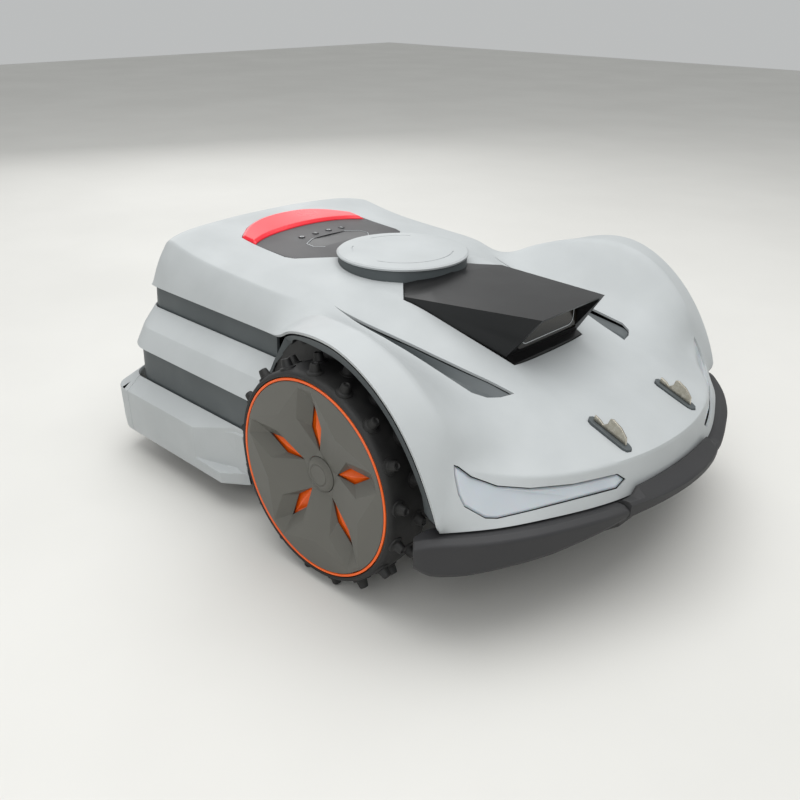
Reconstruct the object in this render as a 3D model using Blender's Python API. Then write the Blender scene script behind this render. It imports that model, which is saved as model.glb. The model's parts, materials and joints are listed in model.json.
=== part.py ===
"""Robotic lawn mower. Shape numbers are millimetres from the middle of the drive axle: X forward, Y left, Z up."""

import math

import bmesh
import bpy
from mathutils import Matrix, Vector

MM = 0.001

# Driving dimensions, in millimetres.
AXLE_HEIGHT = 119.0  # the tread knobs' tips are this far out, so they touch the ground
AXLE_FORWARD = 70.5  # of the middle of the overall length
LENGTH = 671.0  # rear skirt to bumper
WIDTH = 542.0  # across the bumper ends
DRAWN_LENGTH = 671.0  # the sizes that the shape tables are drawn for
DRAWN_WIDTH = 542.0
COVER_WALL = 2.6
GAP = 0.4  # between neighbouring pieces
RING_PLANE = 261.2  # outer face of a drive wheel, from the middle
RING_RADIUS = 102.5
TREAD_RADIUS = 109.0
TREAD_WIDTH = 50.0
KNOBS_PER_ROW = 17
PUCK_RADIUS = 78.0
PUCK_X = -129.0
BASE_RADIUS = 76.0  # of the antenna's base, under the wider cap
PUCK_TOP = 151.6
STOP_HEIGHT = 3.2  # of the stop bar above the deck
KEY_RADIUS = 4.2
CASTOR_RADIUS = 45.0
CASTOR_AT = (-300.0, 120.0)
CASTOR_TRAIL = 22.0
CUTTER_X = -105.0
CUTTER_RADIUS = 45.0  # of the cutter motor's housing
DISC_RADIUS = 80.0
BLADE_REACH = 68.0  # of the blade pivots from the disc's centre
PIVOT_RADIUS = 2.8  # of the studs that the blades swing on
ARCH_RADIUS = 132.0
SHAFT_RADIUS = 8.0
MOTOR_RADIUS = 36.0
RIM_RADIUS = RING_RADIUS - 11.9
PAN_TOP = 2.0
CASTOR_ROOF = 2 * CASTOR_RADIUS - AXLE_HEIGHT + 11.0  # underside of the pan over the castors

LIGHT = (0.62, 0.66, 0.70)
DARK = (0.085, 0.095, 0.10)
BLACK = (0.018, 0.018, 0.020)
RUBBER = (0.022, 0.022, 0.023)
WARM_GREY = (0.10, 0.10, 0.09)
ORANGE = (0.85, 0.16, 0.01)
RED = (0.80, 0.03, 0.04)
NICKEL = (0.60, 0.57, 0.50)
WHITE = (0.72, 0.75, 0.80)
STEEL = (0.55, 0.55, 0.55)


def clearScene():
    for obj in list(bpy.data.objects):
        bpy.data.objects.remove(obj)


def makeMaterial(name, colour, roughness, metallic=0.0):
    material = bpy.data.materials.new(name)
    material.use_nodes = True
    shader = material.node_tree.nodes["Principled BSDF"]
    shader.inputs["Base Color"].default_value = (*colour, 1.0)
    shader.inputs["Roughness"].default_value = roughness
    shader.inputs["Metallic"].default_value = metallic
    return material


def addObject(name, mesh, material, origin, parent):
    obj = bpy.data.objects.new(name, mesh)
    bpy.context.scene.collection.objects.link(obj)
    obj.location = Vector(origin) * MM
    obj.parent = parent
    if material:
        mesh.materials.append(makeMaterial(name, *material))
    return obj


def addEmpty(name, origin, parent=None):
    empty = bpy.data.objects.new(name, None)
    bpy.context.scene.collection.objects.link(empty)
    empty.location = Vector(origin) * MM
    empty.parent = parent
    return empty


def stretched(point):
    x, y, z = point
    return Vector((x * LENGTH / DRAWN_LENGTH, y * WIDTH / DRAWN_WIDTH, z))


def faceOut(mesh):
    shape = bmesh.new()
    shape.from_mesh(mesh)
    bmesh.ops.recalc_face_normals(shape, faces=shape.faces)
    shape.to_mesh(mesh)
    shape.free()
    mesh.shade_smooth()
    mesh.set_sharp_from_angle(angle=math.radians(32))


def meshOf(name, points, faces):
    mesh = bpy.data.meshes.new(name)
    mesh.from_pydata([Vector(point) * MM for point in points], [], faces)
    faceOut(mesh)
    return mesh


def loft(name, rings, material, parent, origin=(0, 0, 0), body=True):
    """A closed solid through rings of equal length. A body's rings stretch with the overall sizes."""
    size = len(rings[0])
    base = stretched(origin) if body else Vector(origin)
    points = []
    for ring in rings:
        points += [(stretched(point) if body else Vector(point)) - base for point in ring]
    faces = [tuple(range(size)), tuple(range(len(points) - size, len(points)))]
    for row in range(len(rings) - 1):
        for column in range(size):
            after = (column + 1) % size
            low = row * size
            high = low + size
            faces.append((low + column, low + after, high + after, high + column))
    return addObject(name, meshOf(name, points, faces), material, base, parent)


def turned(name, profile, material, parent, origin=(0, 0, 0), outward=(0, 0, 1), steps=32, closed=True):
    """A profile of (radius, height), running down its outer side, turned about the outward axis."""
    mesh = bpy.data.meshes.new(name)
    edges = [(i, i + 1) for i in range(len(profile) - 1)]
    if closed:
        edges.append((len(profile) - 1, 0))
    mesh.from_pydata([Vector((radius, 0, height)) * MM for radius, height in profile], edges, [])
    obj = addObject(name, mesh, material, origin, parent)
    obj.rotation_euler = Vector((0, 0, 1)).rotation_difference(Vector(outward)).to_euler()
    screw = obj.modifiers.new("turn", "SCREW")
    screw.steps = steps
    screw.render_steps = steps
    screw.use_merge_vertices = True
    screw.merge_threshold = 0.00001
    screw.use_smooth_shade = True
    return obj


def boxRings(low, high):
    (x0, y0, z0), (x1, y1, z1) = low, high
    return [[(x0, y0, z), (x1, y0, z), (x1, y1, z), (x0, y1, z)] for z in (z0, z1)]


def prismRings(outline, low, high):
    return [[(x, y, z) for x, y in outline] for z in (low, high)]


def helper(obj):
    obj.hide_render = True
    obj.display_type = "WIRE"
    return obj


def combine(obj, other, operation):
    modifier = obj.modifiers.new(other.name, "BOOLEAN")
    modifier.operation = operation
    modifier.solver = "EXACT"
    modifier.object = helper(other)


def cut(obj, other):
    combine(obj, other, "DIFFERENCE")


def join(obj, other):
    combine(obj, other, "UNION")


def grown(outline, by):
    """A plan outline moved outwards by a distance, corner by corner."""
    count = len(outline)
    area = sum(
        outline[i][0] * outline[(i + 1) % count][1] - outline[(i + 1) % count][0] * outline[i][1]
        for i in range(count)
    )
    turn = 1 if area > 0 else -1
    moved = []
    for i in range(count):
        here = Vector(outline[i])
        before = (here - Vector(outline[i - 1])).normalized()
        after = (Vector(outline[(i + 1) % count]) - here).normalized()
        normals = [Vector((d.y, -d.x)) * turn for d in (before, after)]
        corner = normals[0] + normals[1]
        moved.append(tuple(here + corner * by * 2 / corner.length_squared))
    return moved


def mirrored(points):
    return [(x, -y, *rest) for x, y, *rest in points]


def bothSides(half):
    """An outline drawn on the left, closed by its mirror image on the right."""
    return half + [(x, -y) for x, y in reversed(half) if y]


def deckHeight(x, y):
    """The rear deck: rising to a raised tail, crowned across and flatter towards its shoulders."""
    back = max(-150.0 - x, 0.0)
    tail = max(-275.0 - x, 0.0)
    across = (y / 87.0) ** 2
    fall = 7.5 * across / (1.0 + across) + 0.0012 * max(abs(y) - 93.0, 0.0) ** 2
    return 139.6 + 0.045 * back + 0.0012 * tail * tail - fall


def rearDeckRow(x):
    row = [(x, y, deckHeight(x, y)) for y in (0.0, 45.0, 90.0, 128.0, 154.0)]
    shoulder = row[-1][2]
    return row + [(x, 165.5, shoulder - 2.0), (x, 180.0, shoulder * 0.5 + 48.0), (x, 190.5, 92.5)]


# Rows from the rear edge to the front edge. Each runs from the middle out to the cover's free edge.
COVER_ROWS = (
    [
        [(-396, 0, 93), (-396, 45, 93), (-396, 88, 93), (-396, 122, 93),
         (-396, 146, 93), (-395, 164, 93), (-391.5, 177, 92.7), (-384, 186.5, 92.5)],
        [(-395, 0, 122), (-395, 45, 122), (-395, 88, 122), (-395, 122, 121.5),
         (-394, 147, 121), (-391.5, 165, 119.5), (-386, 178.5, 112), (-376, 189.5, 92.5)],
        [(-392.5, 0, 147), (-392.5, 45, 147), (-392.5, 88, 146), (-391.5, 122, 145),
         (-389, 147, 143), (-384, 164, 139.5), (-374, 180, 121), (-360, 190.3, 92.5)],
        [(-382, 0, 160), (-382, 44, 160), (-382, 88, 157.5), (-380, 122, 155.5),
         (-376, 147, 152), (-367, 164, 148), (-353, 181, 123), (-340, 190.5, 92.5)],
    ]
    + [rearDeckRow(x) for x in (-345.0, -295.0, -240.0, -190.0, -150.0)]
    + [
        [(-120, 0, 138), (-120, 45, 136.8), (-120, 88, 134.6), (-120, 122, 132),
         (-120, 142, 128), (-120, 153, 124), (-120, 177, 111), (-122, 199, 97.5)],
        [(-93, 0, 136), (-93, 45, 135.3), (-93, 86, 133.8), (-93, 133, 119.5),
         (-93, 138, 117), (-94, 155, 119), (-96, 174, 121.5), (-101, 207, 108)],
        [(-65, 0, 134), (-65, 45, 133.5), (-65, 87, 132.8), (-65, 130, 112.5),
         (-65, 137, 108), (-65, 160, 119.5), (-62, 191, 136), (-72, 225, 123.5)],
        [(-30, 0, 124), (-30, 45, 124.3), (-30, 82, 126.3), (-30, 125, 106.8),
         (-30, 134, 100.5), (-30, 163, 116), (-28, 205, 144.5), (-38, 243, 138)],
        [(0, 0, 112.5), (0, 45, 113), (0, 77, 116), (0, 120.5, 101.8),
         (0, 133, 95), (0, 165, 112.5), (2, 213, 148.5), (-4, 252, 146.2)],
        [(30, 0, 102), (30, 45, 102.5), (30, 71.5, 105.5), (30, 116, 96),
         (30, 134, 90), (30, 167, 107.5), (32, 217, 149), (30, 254, 145.8)],
        [(60, 0, 92), (60, 45, 92.5), (60, 67, 95.5), (60, 111, 89.8),
         (60, 136, 84.5), (60, 169, 101), (62, 219, 141.5), (60, 254.5, 135.2)],
        [(85, 0, 83.5), (85, 45, 84), (85, 65, 87), (85, 105, 84),
         (85, 138, 80.3), (85, 172, 93), (90, 219.5, 127.5), (88, 254.5, 118)],
        [(112, 0, 75.5), (112, 45, 76), (112, 68, 78.5), (113, 101, 78.3),
         (112, 136, 76), (112, 174, 83.5), (114, 219, 106.5), (113, 254.5, 95)],
        [(142, 0, 68), (142, 45, 68.5), (142, 71, 70.5), (140, 106, 69.8),
         (137, 140, 67.5), (132, 178, 70.5), (131, 218, 86), (133, 254.5, 68)],
        [(175, 0, 59.5), (175, 45, 60), (173, 74, 61.3), (167, 108, 59.5),
         (156, 143, 57), (143, 179, 57.5), (139, 217, 67), (147, 254.5, 42)],
        [(212, 0, 48), (210, 45, 47.8), (203, 81, 48), (190, 118, 47.2),
         (170, 152, 46.5), (151, 182, 47), (143, 217, 57.5), (154.5, 254, 24)],
        [(242, 0, 39.2), (238.8, 45, 38.8), (227.5, 87, 38), (212, 127, 37.5),
         (190, 160, 37.8), (162, 187, 40), (147, 217, 50.5), (157.5, 253.5, 15)],
        [(244, 0, 20), (241.5, 44, 20), (232, 88, 20), (215.5, 130, 20),
         (196, 164, 20), (174, 195, 21.5), (161, 225, 24), (158, 251, 8)],
        [(245, 0, 3), (243.3, 43, 3), (236.5, 88, 3), (221.5, 130, 3),
         (205.5, 165, 3), (189, 200, 3), (170, 227, 3), (154, 247, 3)],
    ]
)
FASCIA_TOP_ROW = 21
FIRST_ARCH_ROW = 10
STOP_STATIONS = (0.0, 30.0, 52.0, 70.0, 89.5, 92.6)


def stopFront(y):
    """The front edge of the stop bar, which bows back in the middle."""
    return -305.5 + 13.5 * abs(y / 90.0) ** 4


def stopRear(y):
    return -351.6 + 33.5 * abs(y / 92.0) ** 3


HOOD_PLAN = bothSides([(87.0, 61.2), (-46.0, 84.5), (-84.0, 46.0)])
PANEL_PLAN = bothSides(
    [(-176.0, 30.0), (-189.0, 52.0), (-220.0, 89.5), (-232.0, 94.0), (-292.0, 93.6)]
    + [(stopRear(y), y) for y in reversed(STOP_STATIONS[1:])]
    + [(stopRear(0.0), 0.0)]
)
VENT_PLAN = [
    (-94, 135.5), (-30, 126), (0, 121.5), (30, 117), (60, 111.5), (88, 105), (117, 100.5), (113, 116), (106, 128),
    (93, 135), (60, 134), (30, 132.5), (0, 131.5), (-30, 132), (-60, 134.5),
]
DISPLAY_PLAN = [
    (-236, 45.5), (-227, 37), (-227, -37), (-236, -45.5), (-249, -44.5), (-258, -28), (-258, 28), (-249, 44.5),
]


def makeCover(root):
    """The outer moulding: a cage smoothed, given its wall and cut for what sits in it."""
    size = 2 * len(COVER_ROWS[0]) - 1
    points = []
    for half in COVER_ROWS:
        points += [stretched(p) for p in mirrored(half[:0:-1])] + [stretched(p) for p in half]
    faces = []
    for row in range(len(COVER_ROWS) - 1):
        for column in range(size - 1):
            low = row * size + column
            faces.append((low, low + size, low + size + 1, low + 1))
    mesh = bpy.data.meshes.new("upper_cover")
    mesh.from_pydata([point * MM for point in points], [], faces)
    mesh.shade_smooth()
    cover = addObject("upper_cover", mesh, (LIGHT, 0.45), (0, 0, 0), root)
    smooth = cover.modifiers.new("smooth", "SUBSURF")
    smooth.levels = 1
    smooth.render_levels = 1
    smooth.boundary_smooth = "PRESERVE_CORNERS"
    wall = cover.modifiers.new("wall", "SOLIDIFY")
    wall.thickness = COVER_WALL * MM
    wall.offset = -1.0
    cut(cover, loft("hood_opening", prismRings(grown(HOOD_PLAN, GAP), 60, 160), None, root))
    cut(cover, loft("panel_opening", prismRings(grown(PANEL_PLAN, GAP), 110, 170), None, root))
    cut(cover, antennaCutter("antenna_opening", root))
    for side, plan in (("left", VENT_PLAN), ("right", mirrored(VENT_PLAN))):
        cut(cover, loft("vent_opening_" + side, prismRings(grown(plan, GAP), 40, 130), None, root))
        cut(cover, loft("light_opening_" + side, lightRings(side, GAP, 9.0, -9.0), None, root))
        cut(cover, loft("contact_opening_" + side, contactRings(side, GAP, 30.0, 90.0), None, root))
    return cover


def antennaCutter(name, root):
    centre = stretched((PUCK_X, 0, 0))
    return loft(name, circleRings(centre.x, 0, BASE_RADIUS + GAP, 100, 160, 40), None, root, body=False)


def ringAngles(count):
    return [2 * math.pi * i / count for i in range(count)]


# The headlight's outline on the fascia, from its inner tip round to its outer tip.
LIGHT_OUTLINE = [
    (234.0, 78.5, 20.5), (229.5, 86.0, 27.0), (211.0, 131.0, 27.5), (189.0, 166.0, 28.8), (170.0, 189.0, 33.0),
    (154.0, 206.0, 43.0), (145.5, 214.5, 53.0), (144.0, 218.5, 55.5), (147.5, 221.5, 48.0), (154.5, 224.0, 33.0),
    (161.0, 223.0, 23.0), (175.0, 210.0, 11.2), (182.0, 201.0, 9.9), (196.0, 173.0, 11.3), (214.7, 134.0, 13.8),
    (232.0, 88.0, 13.6),
]
LIGHT_FACING = Vector((0.72, 0.52, 0.46))


def lightRings(side, grow, high, low):
    """The headlight's outline grown in the plane it faces, at two levels along its facing."""
    facing = LIGHT_FACING.normalized()
    across = facing.cross(Vector((0, 0, 1))).normalized()
    up = across.cross(facing)
    flat = [(Vector(p).dot(across), Vector(p).dot(up)) for p in LIGHT_OUTLINE]
    rings = []
    for level in (high, low):
        ring = []
        for point, (u, v) in zip(LIGHT_OUTLINE, grown(flat, grow)):
            ring.append(tuple(across * u + up * v + facing * (Vector(point).dot(facing) + level)))
        rings.append(ring)
    return rings if side == "left" else [mirrored(ring) for ring in rings]


CONTACT_FRONT = Vector((227.5, 62.5))
CONTACT_REAR = Vector((179.5, 62.5))
CONTACT_HALF_WIDTH = 5.5


def contactPlan(grow):
    """The oblong outline of a charging contact's base."""
    plan = []
    radius = CONTACT_HALF_WIDTH + grow
    for centre, start in ((CONTACT_FRONT, -90), (CONTACT_REAR, 90)):
        middle = centre + Vector((-CONTACT_HALF_WIDTH if start < 0 else CONTACT_HALF_WIDTH, 0))
        for step in range(5):
            angle = math.radians(start + 45 * step)
            plan.append((middle.x + radius * math.cos(angle), middle.y + radius * math.sin(angle)))
    return plan


def contactHeight(x):
    """The deck's height under a contact."""
    return 60.2 - 0.38 * (x - 179.5)


def contactRings(side, grow, low, high):
    plan = contactPlan(grow)
    return prismRings(plan if side == "left" else mirrored(plan), low, high)


def makeArch(name, side, root):
    """A wheel arch: the dark flange under the cover's edge, the liner over the tyre and its inner wall."""
    rings = []
    for x, y, z in [row[7] for row in COVER_ROWS[FIRST_ARCH_ROW : FASCIA_TOP_ROW + 1]]:
        angle = math.atan2(z, x)
        rings.append(archRing(angle, math.hypot(x, z) - 4.7, y - 1.2, side))
    for degrees in (146, 160, 175):
        rings.insert(0, archRing(math.radians(degrees), ARCH_RADIUS + 3.0, 212.0, side))
    return loft(name, rings, (BLACK, 0.6), root)


def archRing(angle, lipRadius, lipY, side):
    """A section of the arch: a band facing out and the liner, whose inner wall stands clear of the tyre."""
    wall = 2.0
    inner = RING_PLANE - (TREAD_WIDTH + 3.6) * DRAWN_WIDTH / WIDTH
    band = max(lipRadius - 9.0, ARCH_RADIUS + 0.4)
    bandY = lipY - 0.28 * (lipRadius - band) - 0.6
    deep = max(bandY - 7.0, inner + 1.0)
    section = [
        (lipRadius, lipY), (band, bandY), (ARCH_RADIUS, deep), (ARCH_RADIUS - 7.0, inner), (100.0, inner),
        (100.0, inner - wall), (ARCH_RADIUS - 5.0, inner - wall), (ARCH_RADIUS + wall, deep - 0.6),
        (band + wall, bandY - wall), (lipRadius, lipY - wall),
    ]
    return [(r * math.cos(angle), side * y, r * math.sin(angle)) for r, y in section]


# Stations round the rear: straight sides, turned corners and the rear face, from right to left.
def rearStations(front):
    side = [("side", x) for x in front]
    corner = [("corner", math.radians(a)) for a in (0, 22.5, 45, 67.5, 90)]
    half = side + corner + [("rear", 0.5)]
    whole = [(-1, *station) for station in half] + [(1, "rear", 0.0)]
    return whole + [(1, *station) for station in reversed(half)]


def outlinePoint(station, sideY, rearX, radius, z):
    """A point of one level's outline at a station."""
    hand, kind, value = station
    if kind == "side":
        return (value, hand * sideY, z)
    if kind == "rear":
        return (-rearX, hand * (sideY - radius) * value, z)
    x = -(rearX - radius) - radius * math.sin(value)
    return (x, hand * (sideY - radius + radius * math.cos(value)), z)


def stepSweep(name, levels, stations, material, root):
    """A stepped panel round the rear. Levels are (side, rear, corner radius, height), outer then inner."""
    rings = [[outlinePoint(station, *level) for level in levels] for station in stations]
    return loft(name, rings, material, root)


def makeRearTiers(root):
    core = [
        (186.0, 391.5, 25.0, 93.0), (187.6, 392.5, 26.0, 66.0), (187.2, 391.5, 26.0, 61.5), (212.0, 388.0, 42.0, 45.0),
        (225.5, 389.5, 47.0, 24.0), (226.0, 390.0, 47.0, -12.0), (226.0, 390.0, 47.0, -21.0),
        (222.5, 386.5, 44.0, -21.0), (222.0, 386.0, 44.0, 22.0), (209.0, 384.0, 40.0, 41.0),
        (183.6, 388.0, 23.0, 58.0), (182.5, 388.0, 22.0, 93.0),
    ]
    stepSweep("rear_core", core, rearStations((-137.0, -220.0, -310.0)), (DARK, 0.55), root)
    middle = [
        (190.0, 394.0, 28.0, 66.5), (217.0, 393.5, 46.0, 49.5), (231.0, 395.0, 50.0, 27.5),
        (226.3, 390.6, 47.0, 27.2), (213.5, 389.4, 43.0, 47.5), (188.2, 392.6, 26.5, 63.2),
    ]
    stepSweep("tier_middle", middle, rearStations((-130.0, -220.0, -310.0)), (LIGHT, 0.45), root)
    rear = [station for station in rearStations(()) if station[1] != "side"]
    seam = [(-1, "side", -366.0)] + rear + [(1, "side", -366.0)]
    stepSweep("skirt_rear", SKIRT_LEVELS, seam, (LIGHT, 0.45), root)
    for side, hand in (("left", 1), ("right", -1)):
        rings = [skirtRing(x, hand) for x in (-365.4, -300.0, -224.0, -200.0, -178.0, -166.0, -150.0)]
        loft("skirt_" + side, rings, (LIGHT, 0.45), root)


SKIRT_LEVELS = [
    (228.5, 393.0, 34.0, -13.5), (248.0, 406.0, 32.0, -29.0), (247.2, 405.2, 32.0, -68.0), (247.2, 405.2, 32.0, -70.5),
    (246.0, 404.0, 32.0, -85.0), (242.6, 400.6, 30.0, -85.0), (243.6, 401.6, 30.0, -74.0), (243.7, 401.7, 30.0, -66.0),
    (244.4, 402.4, 30.0, -31.5), (227.0, 391.5, 33.0, -17.5),
]


def skirtRing(x, hand):
    """The side skirt draws in towards the wheel, its foot later than its upper part."""
    taper = 0.31 * min(max(x + 224.0, 0.0), 60.0)
    toe = 0.72 * max(x + 178.0, 0.0)
    ring = []
    for index, (sideY, _, _, z) in enumerate(SKIRT_LEVELS):
        if index in (7, 8):
            taper = 0.85 * taper
        if index in (1, 8):
            ring.append((x, hand * (sideY - taper), z + 0.75 * taper))
        elif index in (2, 7):
            ring.append((x, hand * (sideY - taper), z))
        elif index in (3, 4, 5, 6):
            ring.append((x, hand * (sideY - toe), z))
        else:
            ring.append((x, hand * sideY, z))
    return ring


BLOCK_HALF = 88.0
# The bumper's plan from its end to the block, with the height of its foot.
BUMPER_LINE = [
    (145.0, 271.0, -29.0), (157.5, 260.0, -37.0), (175.8, 240.0, -38.0), (191.0, 220.0, -35.5), (203.5, 200.0, -33.0),
    (214.5, 180.0, -30.5), (223.4, 160.0, -28.0), (239.2, 120.0, -20.5), (248.9, 88.6, -13.5),
]


def makeBumper(root):
    for side, hand in (("left", 1), ("right", -1)):
        rings = []
        for index, (x, y, foot) in enumerate(BUMPER_LINE):
            after = Vector(BUMPER_LINE[min(index + 1, len(BUMPER_LINE) - 1)][:2])
            along = after - Vector(BUMPER_LINE[max(index - 1, 0)][:2])
            inward = Vector((along.y, -along.x)).normalized()
            if inward.x > 0:
                inward = -inward
            if index == len(BUMPER_LINE) - 1:
                inward = Vector((-1.0, 0.0))
            width = 15.0 if index == 0 else 24.0
            top = -3.0 if index == 0 else 0.6
            low = min(foot, -14.0)
            section = [
                (7.0, top), (1.2, top - 3.2), (0.0, top - 5.6), (0.8, foot + 5.0), (4.0, foot), (width, low), (width, top),
            ]
            rings.append([(x + inward.x * d, hand * (y + inward.y * d), z) for d, z in section])
        loft("bumper_" + side, rings, (RUBBER, 0.6), root)
    rings = []
    for y in (-BLOCK_HALF, -79.0, -69.5, -35.0, 0.0, 35.0, 69.5, 79.0, BLOCK_HALF):
        share = (y / BLOCK_HALF) ** 2
        x = 265.0 - 16.0 * share
        fascia = 246.0 - 8.0 * share
        high = 3.8 if abs(y) > 75 else 12.4
        foot = -8.0 - 5.5 * share
        rings.append([
            (x - 24.0, y, 0.6), (fascia - 2.6, y, 0.6), (fascia, y, 3.0), (fascia - 0.04 * (high - 3.0), y, high),
            (fascia + 2.0, y, high + 0.5), (x - 2.5, y, 4.6), (x, y, 2.0), (x - 1.0, y, foot + 3.0), (x - 4.0, y, foot),
            (x - 24.0, y, -14.0),
        ])
    loft("bumper_center", rings, (RUBBER, 0.6), root)


def makeDeckPieces(root):
    rings = []
    for y in (-93.4, -89.5, -70.0, -52.0, -30.0, 0.0, 30.0, 52.0, 70.0, 89.5, 93.4):
        front = -189.0 - max(abs(y) - 52.0, 0.0) * 0.8267
        front = -232.0 if abs(y) > 90.0 else front
        rear = stopFront(y) + 0.4
        rings.append([
            (rear, y, deckHeight(rear, y) - 4.0), (rear, y, deckHeight(rear, y)),
            (front, y, deckHeight(front, y)), (front, y, deckHeight(front, y) - 4.0),
        ])
    control = loft("control_panel", rings, (BLACK, 0.35), root)
    cut(control, antennaCutter("panel_front_cut", root))
    display = DISPLAY_PLAN
    cut(control, loft("display_opening", prismRings(grown(display, GAP), 120, 160), None, root))
    rings = [[(x, y, deckHeight(x, y) + level) for x, y in display] for level in (-3.0, -0.3)]
    loft("display", rings, (BLACK, 0.1), root)
    for number, y in enumerate((-33.6, -11.2, 11.2, 33.6), 1):
        x = -272.5
        hole = loft("key_opening_%d" % number, circleRings(x, y, KEY_RADIUS + GAP, 120, 160), None, root)
        cut(control, hole)
        level = deckHeight(x, y)
        rings = circleRings(x, y, KEY_RADIUS, level - 3.4, level + 0.8)
        loft("key_%d" % number, rings, (DARK, 0.5), root, (x, y, level))
    rings = []
    for y in [-y for y in STOP_STATIONS[:0:-1]] + list(STOP_STATIONS):
        front = stopFront(y)
        rear = stopRear(y)
        rise = 0.6 if abs(y) > 90 else STOP_HEIGHT
        rings.append([
            (rear, y, deckHeight(rear, y) - 3.4), (rear, y, deckHeight(rear, y) + rise * 0.2),
            (rear + 5.0, y, deckHeight(rear + 5.0, y) + rise), (front - 5.0, y, deckHeight(front - 5.0, y) + rise),
            (front, y, deckHeight(front, y) + rise * 0.3), (front, y, deckHeight(front, y) - 3.4),
        ])
    loft("stop_bar", rings, (RED, 0.35), root, (-330.0, 0.0, deckHeight(-330.0, 0.0)))


def circleRings(x, y, radius, low, high, count=14):
    outline = [(x + radius * math.cos(a), y + radius * math.sin(a)) for a in ringAngles(count)]
    return prismRings(outline, low, high)


def makeAntenna(root):
    base = [
        (0.0, 146.4), (BASE_RADIUS - 1.0, 146.4), (BASE_RADIUS, 145.6), (BASE_RADIUS, 120.0), (0.0, 120.0),
    ]
    centre = stretched((PUCK_X, 0, 0))
    turned("antenna_base", base, (DARK, 0.5), root, centre, steps=40, closed=False)
    cap = [
        (0.0, PUCK_TOP), (72.0, PUCK_TOP - 0.3), (PUCK_RADIUS - 2.0, PUCK_TOP - 1.2), (PUCK_RADIUS, PUCK_TOP - 2.8),
        (PUCK_RADIUS - 0.4, 146.8), (0.0, 146.8),
    ]
    turned("antenna_cap", cap, (LIGHT, 0.45), root, centre, steps=40, closed=False)


HOOD_FACE_TOP = Vector((113.0, 0.0, 138.5))
HOOD_FACE_FOOT = Vector((75.5, 0.0, 91.0))
# Sections of the hood: x, half width and height at the foot, at the crease, then the ridge's height.
HOOD_SECTIONS = [
    (-83.5, 45.6, 126.0, 45.0, 134.0, 141.5), (-46.0, 84.0, 127.0, 83.4, 131.6, 139.0), (15.0, 73.4, 105.0, 72.8, 134.2, 137.0),
]


def makeHood(root):
    rings = []
    for x, low, z, crease, top, ridge in HOOD_SECTIONS:
        rings.append([
            (x, -low, z - 22), (x, low, z - 22), (x, low, z), (x, crease, top), (x, 0, ridge), (x, -crease, top), (x, -low, z),
        ])
    face, foot = HOOD_FACE_TOP, HOOD_FACE_FOOT
    rings.append([
        (70, -61.2, 76), (70, 61.2, 76), (foot.x, 61.0, foot.z), (face.x, 55.6, face.z), (face.x, 0, face.z),
        (face.x, -55.6, face.z), (foot.x, -61.0, foot.z),
    ])
    hood = loft("camera_hood", rings, (BLACK, 0.25), root)
    chin = [[(72, -60.6, 76), (72, 60.6, 76), (72, 60.6, 92.5), (72, -60.6, 92.5)],
            [(86.6, -60.6, 76), (86.6, 60.6, 76), (86.6, 60.6, 86.4), (86.6, -60.6, 86.4)]]
    join(hood, loft("hood_chin", chin, None, root))
    cut(hood, antennaCutter("hood_rear_cut", root))
    cut(hood, loft("camera_pocket", boxRings((66.0, -53.0, 97.5), (135.0, 53.0, 135.6)), None, root))
    loft("camera_plate", boxRings((66.4, -52.6, 97.9), (69.4, 52.6, 135.2)), (DARK, 0.4), root)
    loft("camera_window", boxRings((80.3, -52.6, 97.9), (83.0, 52.6, 135.2)), (BLACK, 0.05), root)
    for name, y, radius in (("lens_left", 31.0, 10.5), ("lens_right", -31.0, 10.5), ("light_sensor", 0.0, 5.0)):
        centre = stretched(Vector((69.6, y, 111.0)))
        barrel = [(0.0, 8.8), (radius * 0.6, 8.2), (radius, 6.6), (radius, 0.2), (0.0, 0.2)]
        turned(name, barrel, (BLACK, 0.1), root, centre, (1, 0, 0), 14, closed=False)


# Stations of a vent: x, its inner and outer edges and their heights.
VENT_STATIONS = [
    (-92.0, 135.3, 135.9, 116.6, 116.4), (-60.0, 130.4, 134.1, 110.0, 108.0), (-30.0, 126.4, 131.6, 104.0, 100.0),
    (0.0, 121.9, 131.1, 99.6, 94.5), (30.0, 117.4, 132.1, 94.0, 89.0), (60.0, 111.9, 133.6, 88.0, 83.6),
    (88.0, 105.5, 134.4, 82.4, 79.0), (104.0, 103.0, 129.6, 78.6, 77.2), (113.5, 101.5, 112.5, 76.6, 76.2),
]


def makeVents(root):
    for side, hand in (("left", 1), ("right", -1)):
        rings = []
        for x, inner, outer, high, low in VENT_STATIONS:
            third = (outer - inner) / 3
            floor = low - 5.0
            rings.append([(x, hand * y, z) for y, z in (
                (inner, high - 2.0), (inner + third, floor), (outer - third, floor - 1.0), (outer, low - 2.0),
                (outer, low - 10.0), (inner, low - 10.0))])
        loft("vent_" + side, rings, (DARK, 0.6), root)


def makeLights(root):
    for side in ("left", "right"):
        loft("headlight_" + side, lightRings(side, -GAP, -2.5, -5.5), (WHITE, 0.3), root)


def makeContacts(root):
    for side, hand in (("left", 1), ("right", -1)):
        rings = []
        for offset in (-3.0, 0.6):
            ring = []
            for x, y in contactPlan(0.0):
                ring.append((x, hand * y, contactHeight(x) + offset))
            rings.append(ring)
        loft("contact_base_" + side, rings, (DARK, 0.5), root)
        blade = [
            (222.0, 1.0), (221.5, 8.5), (215.0, 14.0), (206.0, 16.2), (202.5, 14.5), (200.5, 8.0), (196.0, 3.6),
            (192.5, 5.8), (186.0, 6.6), (185.0, 1.0),
        ]
        rings = [[(x, hand * (62.5 + half), contactHeight(x) + z) for x, z in blade] for half in (-1.1, 1.1)]
        loft("contact_" + side, rings, (NICKEL, 0.3, 1.0), root)


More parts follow.
